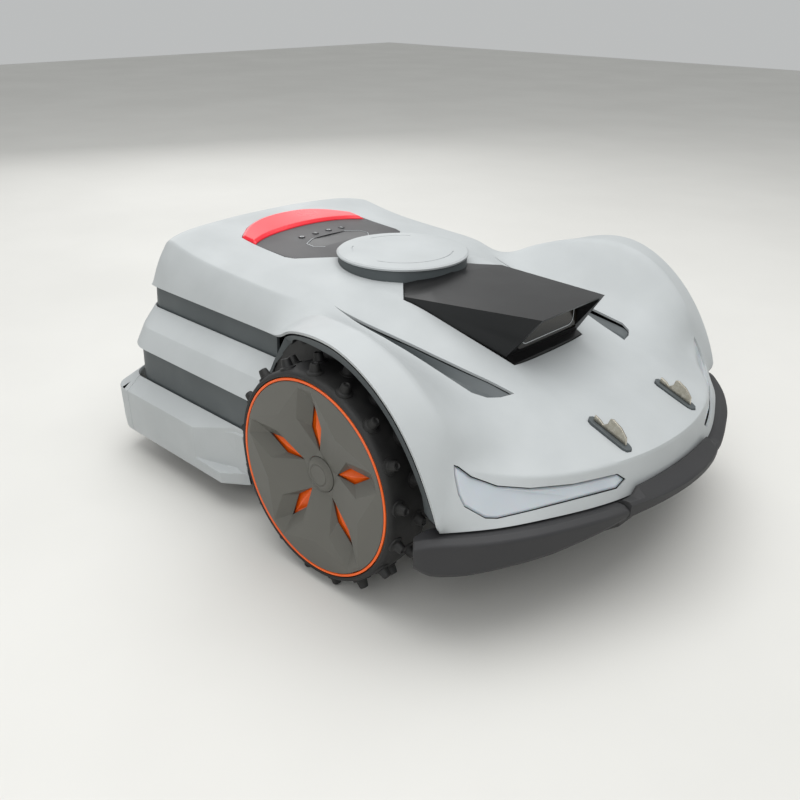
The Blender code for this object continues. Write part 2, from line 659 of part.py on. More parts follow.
def makeTyre(name, wheel):
    """The tread is a grid of cells. Cells of two staggered rows are drawn out into knobs."""
    cells = 2 * KNOBS_PER_ROW
    section = [
        (RING_RADIUS + 0.8, 0.0), (TREAD_RADIUS - 1.5, -1.5), (TREAD_RADIUS, -5.0), (TREAD_RADIUS, -15.0),
        (TREAD_RADIUS, -29.0), (TREAD_RADIUS, -39.0), (TREAD_RADIUS - 1.0, -TREAD_WIDTH + 2.0),
        (TREAD_RADIUS - 4.0, -TREAD_WIDTH), (RIM_RADIUS + 0.6, -TREAD_WIDTH), (RIM_RADIUS + 0.6, -16.4),
        (RING_RADIUS + 0.8, -12.4),
    ]
    points = []
    for angle in ringAngles(cells):
        points += [(r * math.cos(angle), r * math.sin(angle), z) for r, z in section]
    faces = []
    knobFaces = []
    size = len(section)
    for cell in range(cells):
        for column in range(size):
            after = (column + 1) % size
            low = cell * size
            high = (cell + 1) % cells * size
            if (column == 2 and cell % 2 == 0) or (column == 4 and cell % 2 == 1):
                knobFaces.append(len(faces))
            faces.append((low + column, low + after, high + after, high + column))
    mesh = bpy.data.meshes.new(name)
    mesh.from_pydata([Vector(point) * MM for point in points], [], faces)
    shape = bmesh.new()
    shape.from_mesh(mesh)
    bmesh.ops.recalc_face_normals(shape, faces=shape.faces)
    shape.faces.ensure_lookup_table()
    knobs = [shape.faces[index] for index in knobFaces]
    bmesh.ops.inset_individual(shape, faces=knobs, thickness=0.0008)
    for knob in knobs:
        middle = knob.calc_center_median()
        out = Vector((middle.x, middle.y, 0)).normalized()
        reach = AXLE_HEIGHT * MM - Vector((middle.x, middle.y, 0)).length
        raised = bmesh.ops.extrude_discrete_faces(shape, faces=[knob])["faces"][0]
        centre = raised.calc_center_median()
        for vertex in raised.verts:
            offset = (vertex.co - centre) * 0.62
            radial = out * offset.dot(out)
            vertex.co = centre + offset - radial + out * reach
    shape.to_mesh(mesh)
    shape.free()
    mesh.shade_smooth()
    mesh.set_sharp_from_angle(angle=math.radians(32))
    return addObject(name, mesh, (RUBBER, 0.8), (0, 0, 0), wheel)


# Points of the wheel cover: radius, degrees from the middle of an arm, height.
STAR_ARMS = 5
HUB_EDGE = 19.0
FIRST_ARM = 20.0
STAR_HALF_ARM = [
    (98.2, 5.7, 0.0), (98.2, 16.0, 0.0), (98.2, 26.0, 0.0), (98.2, 36.0, 0.0), (70.0, 36.0, 1.8), (94.0, 5.7, 0.8),
    (62.0, 17.0, -3.4), (50.0, 7.6, -11.0), (19.0, 18.0, -12.6), (19.0, 36.0, -12.6),
]
STAR_ARM_MIDDLE = [(76.0, 0.0, -9.0), (25.0, 0.0, -12.6), (19.0, 0.0, -12.6)]
STAR_FACES = [
    (5, 0, 1, 2, 3, 4), (5, 4, 6), (4, 11, 6), (4, 9, 8, 11), (8, 12, 11), (5, 6, 7, 10), (6, 11, 7),
]


def makeStarCover(name, wheel):
    """A dished cover with a five-armed star: each arm falls from the rim to an open slot."""
    scale = (RING_RADIUS - 4.3 - HUB_EDGE) / (98.2 - HUB_EDGE)
    points = []
    faces = []
    for arm in range(STAR_ARMS):
        middle = FIRST_ARM + 360 / STAR_ARMS * arm
        for sign in (1, -1):
            low = len(points)
            for radius, spread, z in STAR_HALF_ARM + STAR_ARM_MIDDLE:
                angle = math.radians(middle + sign * spread)
                reach = HUB_EDGE + (radius - HUB_EDGE) * scale
                points.append((reach * math.cos(angle), reach * math.sin(angle), z))
            for face in STAR_FACES:
                faces.append([low + index for index in (face if sign > 0 else face[::-1])])
        left = len(points) - 2 * len(STAR_HALF_ARM + STAR_ARM_MIDDLE)
        right = len(points) - len(STAR_HALF_ARM + STAR_ARM_MIDDLE)
        faces.append([left + 5, left + 10, right + 5])
        faces.append([left + 5, right + 5, right, left])
    mesh = bpy.data.meshes.new(name)
    mesh.from_pydata([Vector(point) * MM for point in points], [], faces)
    shape = bmesh.new()
    shape.from_mesh(mesh)
    bmesh.ops.remove_doubles(shape, verts=shape.verts, dist=0.00001)
    bmesh.ops.recalc_face_normals(shape, faces=shape.faces)
    if sum(face.normal.z for face in shape.faces) < 0:
        bmesh.ops.reverse_faces(shape, faces=shape.faces)
    shape.to_mesh(mesh)
    shape.free()
    cover = addObject(name, mesh, (WARM_GREY, 0.4), (0, 0, 0), wheel)
    wall = cover.modifiers.new("wall", "SOLIDIFY")
    wall.thickness = 0.0024
    wall.offset = -1.0


def makeWheel(side, hand, root):
    """Each wheel is built with its outer face up and then turned to face out."""
    wheel = addEmpty("wheel_hub_" + side, stretched((0, hand * RING_PLANE, 0)), root)
    wheel.rotation_euler = (math.radians(-90 * hand), 0, 0)
    makeTyre("tyre_" + side, wheel)
    rim = [
        (RIM_RADIUS, -17.4), (RIM_RADIUS, -TREAD_WIDTH), (RIM_RADIUS - 4.6, -TREAD_WIDTH), (RIM_RADIUS - 4.6, -25.0),
        (20.0, -25.0), (20.0, -46.0), (SHAFT_RADIUS + 1.0, -46.0), (SHAFT_RADIUS + 1.0, -20.0),
        (RIM_RADIUS - 4.6, -20.0), (RIM_RADIUS - 4.6, -17.4),
    ]
    turned("rim_" + side, rim, (BLACK, 0.6), wheel, steps=28)
    disc = [
        (RING_RADIUS, 0.4), (RING_RADIUS, -11.0), (RIM_RADIUS - 4.6, -16.6), (10.0, -19.0), (10.0, -17.0),
        (RIM_RADIUS - 6.6, -13.6), (RING_RADIUS - 3.7, -8.0), (RING_RADIUS - 3.7, 0.4),
    ]
    turned("orange_disc_" + side, disc, (ORANGE, 0.35), wheel, steps=30)
    makeStarCover("wheel_cover_" + side, wheel)
    cap = [
        (0.0, -9.6), (10.6, -9.6), (11.4, -10.5), (12.4, -9.8), (15.0, -10.2), (18.4, -12.4), (18.4, -14.8), (0.0, -14.8),
    ]
    turned("hub_cap_" + side, cap, (WARM_GREY, 0.4), wheel, steps=20, closed=False)


def makeChassis(root):
    plan = bothSides([
        (224.0, 60.0), (204.0, 116.0), (168.0, 160.0), (136.0, 180.0), (-128.0, 180.0), (-150.0, 208.0), (-345.0, 208.0),
        (-374.0, 180.0),
    ])
    top = max(PAN_TOP, CASTOR_ROOF + 15.0)
    pan = loft("chassis_pan", prismRings(plan, -45.0, top), (BLACK, 0.6), root)
    front = bothSides([
        (220.0, 58.0), (201.0, 113.0), (166.0, 157.0), (135.0, 177.0), (-129.4, 177.0), (-151.4, 205.0), (-224.0, 205.0),
    ])
    rear = bothSides([(-220.0, 205.0), (-343.7, 205.0), (-371.0, 178.7)])
    cut(pan, loft("pan_front_room", prismRings(front, -42.0, top + 18.0), None, root))
    cut(pan, loft("pan_rear_room", prismRings(rear, CASTOR_ROOF + 3.0, top + 18.0), None, root))
    cut(pan, loft("pan_rear_step", prismRings(bothSides([(-228.0, 220.0), (-400.0, 220.0)]), -60.0, CASTOR_ROOF), None, root))
    middle = stretched((CUTTER_X, 0, 0))
    collar = circleRings(middle.x, 0, CUTTER_RADIUS + 7.0, -43.0, -12.0, 28)
    bore = circleRings(middle.x, 0, CUTTER_RADIUS + 1.0, -60.0, 0.0, 28)
    join(pan, loft("cutter_collar", collar, None, root, body=False))
    cut(pan, loft("cutter_bore", bore, None, root, body=False))
    for side, hand in (("left", 1), ("right", -1)):
        radius = MOTOR_RADIUS + 2.6
        ends = [stretched((0, hand * y, 0)).y for y in (110, 220)]
        rings = [[(radius * math.cos(a), y, radius * math.sin(a)) for a in ringAngles(20)] for y in ends]
        cut(pan, loft("motor_notch_" + side, rings, None, root, body=False))
        pivot = stretched((CASTOR_AT[0], hand * CASTOR_AT[1], 0))
        bore = circleRings(pivot.x, pivot.y, 8.3, CASTOR_ROOF - 12.0, CASTOR_ROOF + 18.0, 16)
        cut(pan, loft("castor_bore_" + side, bore, None, root, body=False))
    loft("battery_pack", boxRings((40, -62, -41.5), (180, 62, 8)), (DARK, 0.6), root)
    for side, hand in (("left", 1), ("right", -1)):
        motor = [(0.0, -22.0), (SHAFT_RADIUS, -22.0), (SHAFT_RADIUS, -64.0), (MOTOR_RADIUS, -64.0), (MOTOR_RADIUS, -142.0), (0.0, -142.0)]
        centre = stretched((0, hand * RING_PLANE, 0))
        turned("drive_motor_" + side, motor, (STEEL, 0.4, 0.6), root, centre, (0, hand, 0), 20, closed=False)


def makeCastor(side, hand, root):
    x, y = CASTOR_AT
    swivel = addEmpty("castor_swivel_" + side, stretched((x, hand * y, 0)), root)
    axle = CASTOR_RADIUS - AXLE_HEIGHT
    top = axle + CASTOR_RADIUS + 4.0
    fork = loft("castor_fork_" + side, boxRings((-CASTOR_TRAIL - 9, -19, top), (16, 19, top + 4)), (BLACK, 0.5), swivel, body=False)
    for end, low, high in (("a", -19, -15), ("b", 15, 19)):
        outline = [(-CASTOR_TRAIL - 9, axle - 8), (-CASTOR_TRAIL + 9, axle - 8), (10, top + 1), (-CASTOR_TRAIL - 9, top + 1)]
        rings = [[(px, py, pz) for px, pz in outline] for py in (low, high)]
        join(fork, loft("castor_arm_%s_%s" % (side, end), rings, None, swivel, body=False))
    join(fork, loft("castor_stem_" + side, circleRings(0, 0, 7.5, top + 2, CASTOR_ROOF + 12.0, 16), None, swivel, body=False))
    pin = [[(-CASTOR_TRAIL + 5 * math.cos(a), py, axle + 5 * math.sin(a)) for a in ringAngles(14)] for py in (-17, 17)]
    join(fork, loft("castor_pin_" + side, pin, None, swivel, body=False))
    roller = [
        (CASTOR_RADIUS, 6.0), (CASTOR_RADIUS, -6.0), (CASTOR_RADIUS - 4, -11.0), (30.0, -12.0), (12.0, -14.0),
        (5.6, -14.0), (5.6, 14.0), (12.0, 14.0), (30.0, 12.0), (CASTOR_RADIUS - 4, 11.0),
    ]
    turned("castor_wheel_" + side, roller, (RUBBER, 0.7), swivel, (-CASTOR_TRAIL, 0, axle), (0, 1, 0), 20)


def makeCutter(root):
    carriage = addEmpty("cutter_carriage_frame", stretched((CUTTER_X, 0, 0)), root)
    motor = [
        (0.0, 24.0), (CUTTER_RADIUS - 5.0, 24.0), (CUTTER_RADIUS, 18.0), (CUTTER_RADIUS, -56.0), (12.0, -56.0),
        (12.0, -60.0), (0.0, -60.0),
    ]
    turned("cutter_carriage", motor, (DARK, 0.5), carriage, steps=28, closed=False)
    disc = [(0.0, -60.4), (20.0, -60.4), (24.0, -63.0), (DISC_RADIUS, -63.0), (DISC_RADIUS, -66.0), (0.0, -66.0)]
    plate = turned("blade_disc", disc, (DARK, 0.5), carriage, steps=36, closed=False)
    for number in range(3):
        angle = 2 * math.pi * number / 3
        centre = Vector((BLADE_REACH * math.cos(angle), BLADE_REACH * math.sin(angle), -67.2))
        pivot = addEmpty("blade_pivot_%d" % (number + 1), centre, carriage)
        pivot.rotation_euler = (0, 0, angle)
        blade = [(-7, -8), (28, -9), (33, -6), (33, 6), (28, 9), (-7, 8)]
        blade = loft("blade_%d" % (number + 1), prismRings(blade, -0.5, 0.5), (STEEL, 0.25, 1.0), pivot, body=False)
        hole = circleRings(0, 0, PIVOT_RADIUS + GAP, -2, 2, 12)
        cut(blade, loft("blade_hole_%d" % (number + 1), hole, None, pivot, body=False))
        stud = circleRings(centre.x, centre.y, PIVOT_RADIUS, -69.5, -65.0, 12)
        join(plate, loft("blade_stud_%d" % (number + 1), stud, None, carriage, body=False))


def buildMower():
    clearScene()
    root = addEmpty("drive_axle", (AXLE_FORWARD, 0, AXLE_HEIGHT))
    makeCover(root)
    makeArch("wheel_arch_left", 1, root)
    makeArch("wheel_arch_right", -1, root)
    makeRearTiers(root)
    makeBumper(root)
    makeDeckPieces(root)
    makeAntenna(root)
    makeHood(root)
    makeVents(root)
    makeLights(root)
    makeContacts(root)
    makeChassis(root)
    for side, hand in (("left", 1), ("right", -1)):
        makeWheel(side, hand, root)
        makeCastor(side, hand, root)
    makeCutter(root)


buildMower()
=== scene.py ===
import json
import math

import bmesh
import bpy
from mathutils import Matrix, Vector


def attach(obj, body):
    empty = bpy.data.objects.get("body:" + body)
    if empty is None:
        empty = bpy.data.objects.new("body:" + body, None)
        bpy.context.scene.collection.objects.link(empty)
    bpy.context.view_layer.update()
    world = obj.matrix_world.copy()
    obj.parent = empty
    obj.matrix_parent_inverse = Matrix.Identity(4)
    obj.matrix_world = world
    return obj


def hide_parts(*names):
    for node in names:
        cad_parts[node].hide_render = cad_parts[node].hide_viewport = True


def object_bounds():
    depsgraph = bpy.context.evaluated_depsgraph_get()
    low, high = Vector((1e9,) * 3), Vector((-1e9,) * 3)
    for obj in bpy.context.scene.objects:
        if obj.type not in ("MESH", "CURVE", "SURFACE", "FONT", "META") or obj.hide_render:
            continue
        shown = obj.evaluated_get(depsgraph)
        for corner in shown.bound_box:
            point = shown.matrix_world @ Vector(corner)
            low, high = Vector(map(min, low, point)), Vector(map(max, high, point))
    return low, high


# Robotic lawn mower. Shape numbers are millimetres from the middle of the drive axle: X forward, Y left, Z up.
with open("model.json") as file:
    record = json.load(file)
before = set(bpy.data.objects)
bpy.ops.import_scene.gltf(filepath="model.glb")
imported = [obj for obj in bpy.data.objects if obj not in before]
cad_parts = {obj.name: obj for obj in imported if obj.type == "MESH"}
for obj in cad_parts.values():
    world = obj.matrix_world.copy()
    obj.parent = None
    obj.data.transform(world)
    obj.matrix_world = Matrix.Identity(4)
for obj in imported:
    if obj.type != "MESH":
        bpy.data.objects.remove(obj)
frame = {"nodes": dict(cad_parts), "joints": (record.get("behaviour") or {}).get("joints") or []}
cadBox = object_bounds()
mm = 0.001
wheelSpin = next(joint for joint in frame["joints"] if joint["name"] == "wheel_left_spin")
hubX, hubY, hubZ = wheelSpin["pos_m"]
axle = Vector((hubX, 0, hubZ))
print("frame loaded,", len(frame["nodes"]), "CAD nodes")


# sRGB hex to linear, with alpha 1
def hexColour(text):
    channels = [int(text[i : i + 2], 16) / 255 for i in (1, 3, 5)]
    return (*[c / 12.92 if c <= 0.04045 else ((c + 0.055) / 1.055) ** 2.4 for c in channels], 1.0)


# adds a node, sets its properties, then sets or links its inputs
def addNode(tree, kind, settings, links):
    node = tree.nodes.new(kind)
    for name, value in settings.items():
        setattr(node, name, value)
    for socket, value in links.items():
        if isinstance(value, bpy.types.NodeSocket):
            tree.links.new(value, node.inputs[socket])
        else:
            node.inputs[socket].default_value = value
    return node


# grain is the size of the surface texture, relief its depth and mottle the size of its
# cloudy tint, all in millimetres
finishes = {
    # ASA moulded in a spark-eroded tool: an even light grey, its fine satin grain softening every highlight
    "mouldedAsa": {"colour": "#B3B7B8", "shade": "#ADB1B2", "roughness": 0.5, "grain": 1.1, "relief": 0.05},
    # the same resin in dark grey, for the vents and contact bases; on the rear core's bands, the arch band and
    # the antenna base's side this dark grey is painted shade, standing in for the shadow in their undercuts
    "darkAsa": {"colour": "#4F5557", "shade": "#494F51", "roughness": 0.5, "grain": 1.1, "relief": 0.05},
    # unpainted polypropylene, black and slightly waxy
    "blackPolypropylene": {
        "colour": "#161617", "shade": "#1D1D1E", "roughness": 0.55, "grain": 1.4, "relief": 0.08,
    },
    # moulded TPE rubber: deep matt grey with a coarser leathery grain and a few dusty patches
    "bumperRubber": {
        "colour": "#29292B", "shade": "#313132", "roughness": 0.62, "grain": 1.6, "relief": 0.12,
    },
    # tyre rubber, nearly black, greyer where dust has settled
    "tyreRubber": {
        "colour": "#101011", "shade": "#1B1B1A", "roughness": 0.6,
        "grain": 1.8, "relief": 0.12, "mottle": 18,
    },
    # painted ABS wheel cover: warm grey satin paint that shows each facet as its own flat tone
    "warmSatinPaint": {
        "colour": "#585751", "shade": "#5C5B55", "roughness": 0.4, "grain": 0.9, "relief": 0.02,
    },
    # orange ABS with a light gloss
    "orangeAbs": {"colour": "#F2640C", "shade": "#EA5A08", "roughness": 0.35, "grain": 1.0, "relief": 0.02},
    # red ABS, glossier, so its bevels catch the sky
    "redAbs": {"colour": "#E3142A", "shade": "#DA1024", "roughness": 0.3, "grain": 1.0, "relief": 0.015},
    # black lacquered polycarbonate: a soft sheen, deeper than the rubber beside it
    "satinBlackLacquer": {
        "colour": "#070708", "shade": "#0A0A0B", "roughness": 0.4,
        "grain": 0.9, "relief": 0.015, "coat": 0.1,
    },
    # printed polycarbonate film over the keys: charcoal, softly matt
    "panelFilm": {"colour": "#2B2A2C", "shade": "#2F2E30", "roughness": 0.45, "grain": 0.8, "relief": 0.03},
    # display glass: black, with an anti-glare etch that spreads reflections
    "displayGlass": {
        "colour": "#07080A", "shade": "#08090C", "roughness": 0.35, "grain": 0.0, "relief": 0.0,
    },
    # smoked acrylic camera window, deep brown-black with a light polish
    "smokedAcrylic": {
        "colour": "#16120A", "shade": "#1A150C", "roughness": 0.2, "grain": 0.0, "relief": 0.0,
    },
    # coated camera glass, with a faint violet bloom
    "coatedGlass": {
        "colour": "#14121E", "shade": "#1B1830", "roughness": 0.03,
        "grain": 0.0, "relief": 0.0, "coat": 1.0, "mottle": 6,
    },
    # screen-printed ink, a flat pale grey
    "printedInk": {"colour": "#C2C6C8", "shade": "#B9BDC0", "roughness": 0.6, "grain": 0.6, "relief": 0.01},
    # opal polycarbonate light pipe: a milky grey white that lets light sink in a little
    "opalPolycarbonate": {
        "colour": "#BFC5CA", "shade": "#B9BFC5", "roughness": 0.28,
        "grain": 0.0, "relief": 0.0, "milk": 0.25,
    },
    # nickel plate on pressed brass: warm, bright metal, faintly rubbed
    "nickelPlate": {
        "colour": "#C9C3B6", "shade": "#B5AE9F", "roughness": 0.28,
        "grain": 0.7, "relief": 0.01, "metallic": 1.0, "mottle": 4,
    },
    # ground tool steel: bright grey metal with a faint uneven polish
    "groundSteel": {
        "colour": "#B8B9BA", "shade": "#A3A4A5", "roughness": 0.3,
        "grain": 0.6, "relief": 0.02, "metallic": 1.0, "mottle": 6,
    },
    # die-cast aluminium motor housing, dull and slightly pitted
    "castAluminium": {
        "colour": "#A5A6A8", "shade": "#96979A", "roughness": 0.45,
        "grain": 1.2, "relief": 0.06, "metallic": 1.0, "mottle": 10,
    },
}
looks = {}


def makeFinish(name, colour, shade, roughness, grain, relief, mottle=70, metallic=0.0, coat=0.0, milk=0.0):
    material = bpy.data.materials.new(name)
    material.use_nodes = True
    tree = material.node_tree
    shader = tree.nodes["Principled BSDF"]
    shader.inputs["Metallic"].default_value = metallic
    shader.inputs["Coat Weight"].default_value = coat
    shader.inputs["Coat Roughness"].default_value = 0.06
    if milk:
        shader.inputs["Subsurface Weight"].default_value = milk
        shader.inputs["Subsurface Scale"].default_value = 0.004
    place = addNode(tree, "ShaderNodeTexCoord", {}, {}).outputs["Object"]
    cloud = addNode(tree, "ShaderNodeTexNoise", {}, {"Vector": place, "Scale": 1000 / mottle, "Detail": 4.0})
    spread = addNode(tree, "ShaderNodeMapRange", {}, {
        "Value": cloud.outputs["Fac"], "From Min": 0.35, "From Max": 0.65})
    tint = addNode(tree, "ShaderNodeMix", {"data_type": "RGBA"},
                   {"Factor": spread.outputs["Result"], 6: hexColour(colour), 7: hexColour(shade)})
    tree.links.new(tint.outputs[2], shader.inputs["Base Color"])
    dull = addNode(tree, "ShaderNodeMapRange", {}, {
        "Value": cloud.outputs["Fac"], "From Min": 0.3, "From Max": 0.7,
        "To Min": roughness * 0.9, "To Max": roughness * 1.12})
    tree.links.new(dull.outputs["Result"], shader.inputs["Roughness"])
    if relief:
        pits = addNode(tree, "ShaderNodeTexNoise", {}, {"Vector": place, "Scale": 1000 / grain, "Detail": 2.0})
        bump = addNode(tree, "ShaderNodeBump", {}, {
            "Strength": 0.6, "Distance": relief * mm, "Height": pits.outputs["Fac"]})
        tree.links.new(bump.outputs["Normal"], shader.inputs["Normal"])
    return material


for name, finish in finishes.items():
    looks[name] = makeFinish(name, **finish)
print("finishes made:", len(looks))


# a mesh object from points in the axle frame, in millimetres
def meshObject(name, points, faces, place=None, outward=True):
    if place:
        points = [place @ Vector(point) for point in points]
    mesh = bpy.data.meshes.new(name)
    mesh.from_pydata([axle + Vector(point) * mm for point in points], [], faces)
    if outward:
        shape = bmesh.new()
        shape.from_mesh(mesh)
        bmesh.ops.remove_doubles(shape, verts=shape.verts, dist=1e-6)
        bmesh.ops.recalc_face_normals(shape, faces=shape.faces)
        shape.to_mesh(mesh)
        shape.free()
    piece = bpy.data.objects.new(name, mesh)
    bpy.context.scene.collection.objects.link(piece)
    return piece


# applies the modifiers so far and marks the edges sharper than an angle
def settle(piece, sharp=30):
    graph = bpy.context.evaluated_depsgraph_get()
    piece.data = bpy.data.meshes.new_from_object(piece.evaluated_get(graph), depsgraph=graph)
    piece.modifiers.clear()
    piece.data.shade_smooth()
    piece.data.set_sharp_from_angle(angle=math.radians(sharp))


# applies Booleans with other meshes, which are then removed
def carve(piece, tools, operation="DIFFERENCE"):
    for other in tools:
        modifier = piece.modifiers.new("carve", "BOOLEAN")
        modifier.operation = operation
        modifier.solver = "EXACT"
        modifier.object = other
    settle(piece)
    for other in tools:
        bpy.data.objects.remove(other)


# rounds the edges, gives the finish and hangs the piece on its body
def dress(piece, look, body, nodes, edge=0.0, segments=3, sharp=30, limit=20):
    if edge:
        modifier = piece.modifiers.new("edge", "BEVEL")
        modifier.width = edge * mm
        modifier.segments = segments
        modifier.limit_method = "ANGLE"
        modifier.angle_limit = math.radians(limit)
    settle(piece, sharp)
    for name in [look] if isinstance(look, str) else look:
        if looks[name].name not in piece.data.materials:
            piece.data.materials.append(looks[name])
    piece.modifiers.new("shading", "WEIGHTED_NORMAL").keep_sharp = True
    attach(piece, body)
    if nodes:
        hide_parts(*nodes)
    return piece


# points and faces of a solid through rings of equal length
def loft(rings):
    size = len(rings[0])
    points = [point for ring in rings for point in ring]
    faces = [tuple(range(size)), tuple(range(len(points) - size, len(points)))]
    for row in range(len(rings) - 1):
        for column in range(size):
            after = (column + 1) % size
            low = row * size
            faces.append((low + column, low + after, low + size + after, low + size + column))
    return points, faces


# a profile of (radius, height) turned about Z; a closed one is a ring
def turned(profile, steps=96, closed=False):
    points = []
    for step in range(steps):
        angle = 2 * math.pi * step / steps
        points += [(r * math.cos(angle), r * math.sin(angle), z) for r, z in profile]
    size = len(profile)
    faces = []
    for step in range(steps):
        low = step * size
        high = (step + 1) % steps * size
        for column in range(size if closed else size - 1):
            after = (column + 1) % size
            faces.append((low + column, low + after, high + after, high + column))
    return points, faces


# rings in between, on a smooth curve through the given ones
def smoothed(rings, steps=4):
    made = []
    for index in range(len(rings) - 1):
        before = rings[max(index - 1, 0)]
        after = rings[min(index + 2, len(rings) - 1)]
        for step in range(steps):
            t = step / steps
            ring = []
            for p0, p1, p2, p3 in zip(before, rings[index], rings[index + 1], after):
                p0, p1, p2, p3 = Vector(p0), Vector(p1), Vector(p2), Vector(p3)
                pull = (p2 - p0) * t + (p0 * 2 - p1 * 5 + p2 * 4 - p3) * t * t
                pull += (p1 * 3 - p0 - p2 * 3 + p3) * t**3
                ring.append(tuple(p1 + pull / 2))
            made.append(ring)
    return made + [rings[-1]]


# rings of a plan outline at two heights
def prism(outline, low, high):
    return [[(x, y, z) for x, y in outline] for z in (low, high)]


def circle(x, y, radius, count=48):
    angles = [2 * math.pi * step / count for step in range(count)]
    return [(x + radius * math.cos(a), y + radius * math.sin(a)) for a in angles]


# a plan outline moved outwards by a distance, corner by corner
def grown(outline, by):
    count = len(outline)
    area = sum(
        outline[i][0] * outline[(i + 1) % count][1] - outline[(i + 1) % count][0] * outline[i][1]
        for i in range(count)
    )
    turn = 1 if area > 0 else -1
    moved = []
    for i in range(count):
        here = Vector(outline[i])
        before = (here - Vector(outline[i - 1])).normalized()
        after = (Vector(outline[(i + 1) % count]) - here).normalized()
        normals = [Vector((d.y, -d.x)) * turn for d in (before, after)]
        corner = normals[0] + normals[1]
        moved.append(tuple(here + corner * by * 2 / corner.length_squared))
    return moved


# the other side's points
def mirrored(points):
    return [(x, -y, *rest) for x, y, *rest in points]


# an outline drawn on the left, closed by its mirror image on the right
def bothSides(half):
    return half + [(x, -y) for x, y in reversed(half) if y]


# the rear deck: rising to a raised tail, crowned across and flatter towards its shoulders
def deckHeight(x, y):
    back = max(-150.0 - x, 0.0)
    tail = max(-275.0 - x, 0.0)
    across = (y / 87.0) ** 2
    fall = 7.5 * across / (1.0 + across) + 0.0012 * max(abs(y) - 93.0, 0.0) ** 2
    return 139.6 + 0.045 * back + 0.0012 * tail * tail - fall


# a row of the rear deck, out over its shoulder to the free edge
def rearDeckRow(x):
    row = [(x, y, deckHeight(x, y)) for y in (0.0, 45.0, 90.0, 128.0, 154.0)]
    shoulder = row[-1][2]
    return row + [(x, 165.5, shoulder - 2.0), (x, 180.0, shoulder * 0.5 + 48.0), (x, 190.5, 92.5)]


# Rows from the rear edge to the front edge. Each runs from the middle out to the cover's free edge.
coverRows = (
    [
        [(-396, 0, 93), (-396, 45, 93), (-396, 88, 93), (-396, 122, 93),
         (-396, 146, 93), (-395, 164, 93), (-391.5, 177, 92.7), (-384, 186.5, 92.5)],
        [(-395, 0, 122), (-395, 45, 122), (-395, 88, 122), (-395, 122, 121.5),
         (-394, 147, 121), (-391.5, 165, 119.5), (-386, 178.5, 112), (-376, 189.5, 92.5)],
        [(-392.5, 0, 147), (-392.5, 45, 147), (-392.5, 88, 146), (-391.5, 122, 145),
         (-389, 147, 143), (-384, 164, 139.5), (-374, 180, 121), (-360, 190.3, 92.5)],
        [(-382, 0, 160), (-382, 44, 160), (-382, 88, 157.5), (-380, 122, 155.5),
         (-376, 147, 152), (-367, 164, 148), (-353, 181, 123), (-340, 190.5, 92.5)],
    ]
    + [rearDeckRow(x) for x in (-345.0, -295.0, -240.0, -190.0, -150.0)]
    + [
        [(-120, 0, 138), (-120, 45, 136.8), (-120, 88, 134.6), (-120, 122, 132),
         (-120, 142, 128), (-120, 153, 124), (-120, 177, 111), (-122, 199, 97.5)],
        [(-93, 0, 136), (-93, 45, 135.3), (-93, 86, 133.8), (-93, 133, 119.5),
         (-93, 138, 117), (-94, 155, 119), (-96, 174, 121.5), (-101, 207, 108)],
        [(-65, 0, 134), (-65, 45, 133.5), (-65, 87, 132.8), (-65, 130, 112.5),
         (-65, 137, 108), (-65, 160, 119.5), (-62, 191, 136), (-72, 225, 123.5)],
        [(-30, 0, 124), (-30, 45, 124.3), (-30, 82, 126.3), (-30, 125, 106.8),
         (-30, 134, 100.5), (-30, 163, 116), (-28, 205, 144.5), (-38, 243, 138)],
        [(0, 0, 112.5), (0, 45, 113), (0, 77, 116), (0, 120.5, 101.8),
         (0, 133, 95), (0, 165, 112.5), (2, 213, 148.5), (-4, 252, 146.2)],
        [(30, 0, 102), (30, 45, 102.5), (30, 71.5, 105.5), (30, 116, 96),
         (30, 134, 90), (30, 167, 107.5), (32, 217, 149), (30, 254, 145.8)],
        [(60, 0, 92), (60, 45, 92.5), (60, 67, 95.5), (60, 111, 89.8),
         (60, 136, 84.5), (60, 169, 101), (62, 219, 141.5), (60, 254.5, 135.2)],
        [(85, 0, 83.5), (85, 45, 84), (85, 65, 87), (85, 105, 84),
         (85, 138, 80.3), (85, 172, 93), (90, 219.5, 127.5), (88, 254.5, 118)],
        [(112, 0, 75.5), (112, 45, 76), (112, 68, 78.5), (113, 101, 78.3),
         (112, 136, 76), (112, 174, 83.5), (114, 219, 106.5), (113, 254.5, 95)],
        [(142, 0, 68), (142, 45, 68.5), (142, 71, 70.5), (140, 106, 69.8),
         (137, 140, 67.5), (132, 178, 70.5), (131, 218, 86), (133, 254.5, 68)],
        [(175, 0, 59.5), (175, 45, 60), (173, 74, 61.3), (167, 108, 59.5),
         (156, 143, 57), (143, 179, 57.5), (139, 217, 67), (147, 254.5, 42)],
        [(212, 0, 48), (210, 45, 47.8), (203, 81, 48), (190, 118, 47.2),
         (170, 152, 46.5), (151, 182, 47), (143, 217, 57.5), (154.5, 254, 24)],
        [(242, 0, 39.2), (238.8, 45, 38.8), (227.5, 87, 38), (212, 127, 37.5),
         (190, 160, 37.8), (162, 187, 40), (147, 217, 50.5), (157.5, 253.5, 15)],
        [(244, 0, 20), (241.5, 44, 20), (232, 88, 20), (215.5, 130, 20),
         (196, 164, 20), (174, 195, 21.5), (161, 225, 24), (158, 251, 8)],
        [(245, 0, 3), (243.3, 43, 3), (236.5, 88, 3), (221.5, 130, 3),
         (205.5, 165, 3), (189, 200, 3), (170, 227, 3), (154, 247, 3)],
    ]
)
stopStations = (0.0, 30.0, 52.0, 70.0, 89.5, 92.6)


# the front edge of the stop bar, which bows back in the middle
def stopFront(y):
    return -305.5 + 13.5 * abs(y / 90.0) ** 4


# the rear edge of the stop bar
def stopRear(y):
    return -351.6 + 33.5 * abs(y / 92.0) ** 3


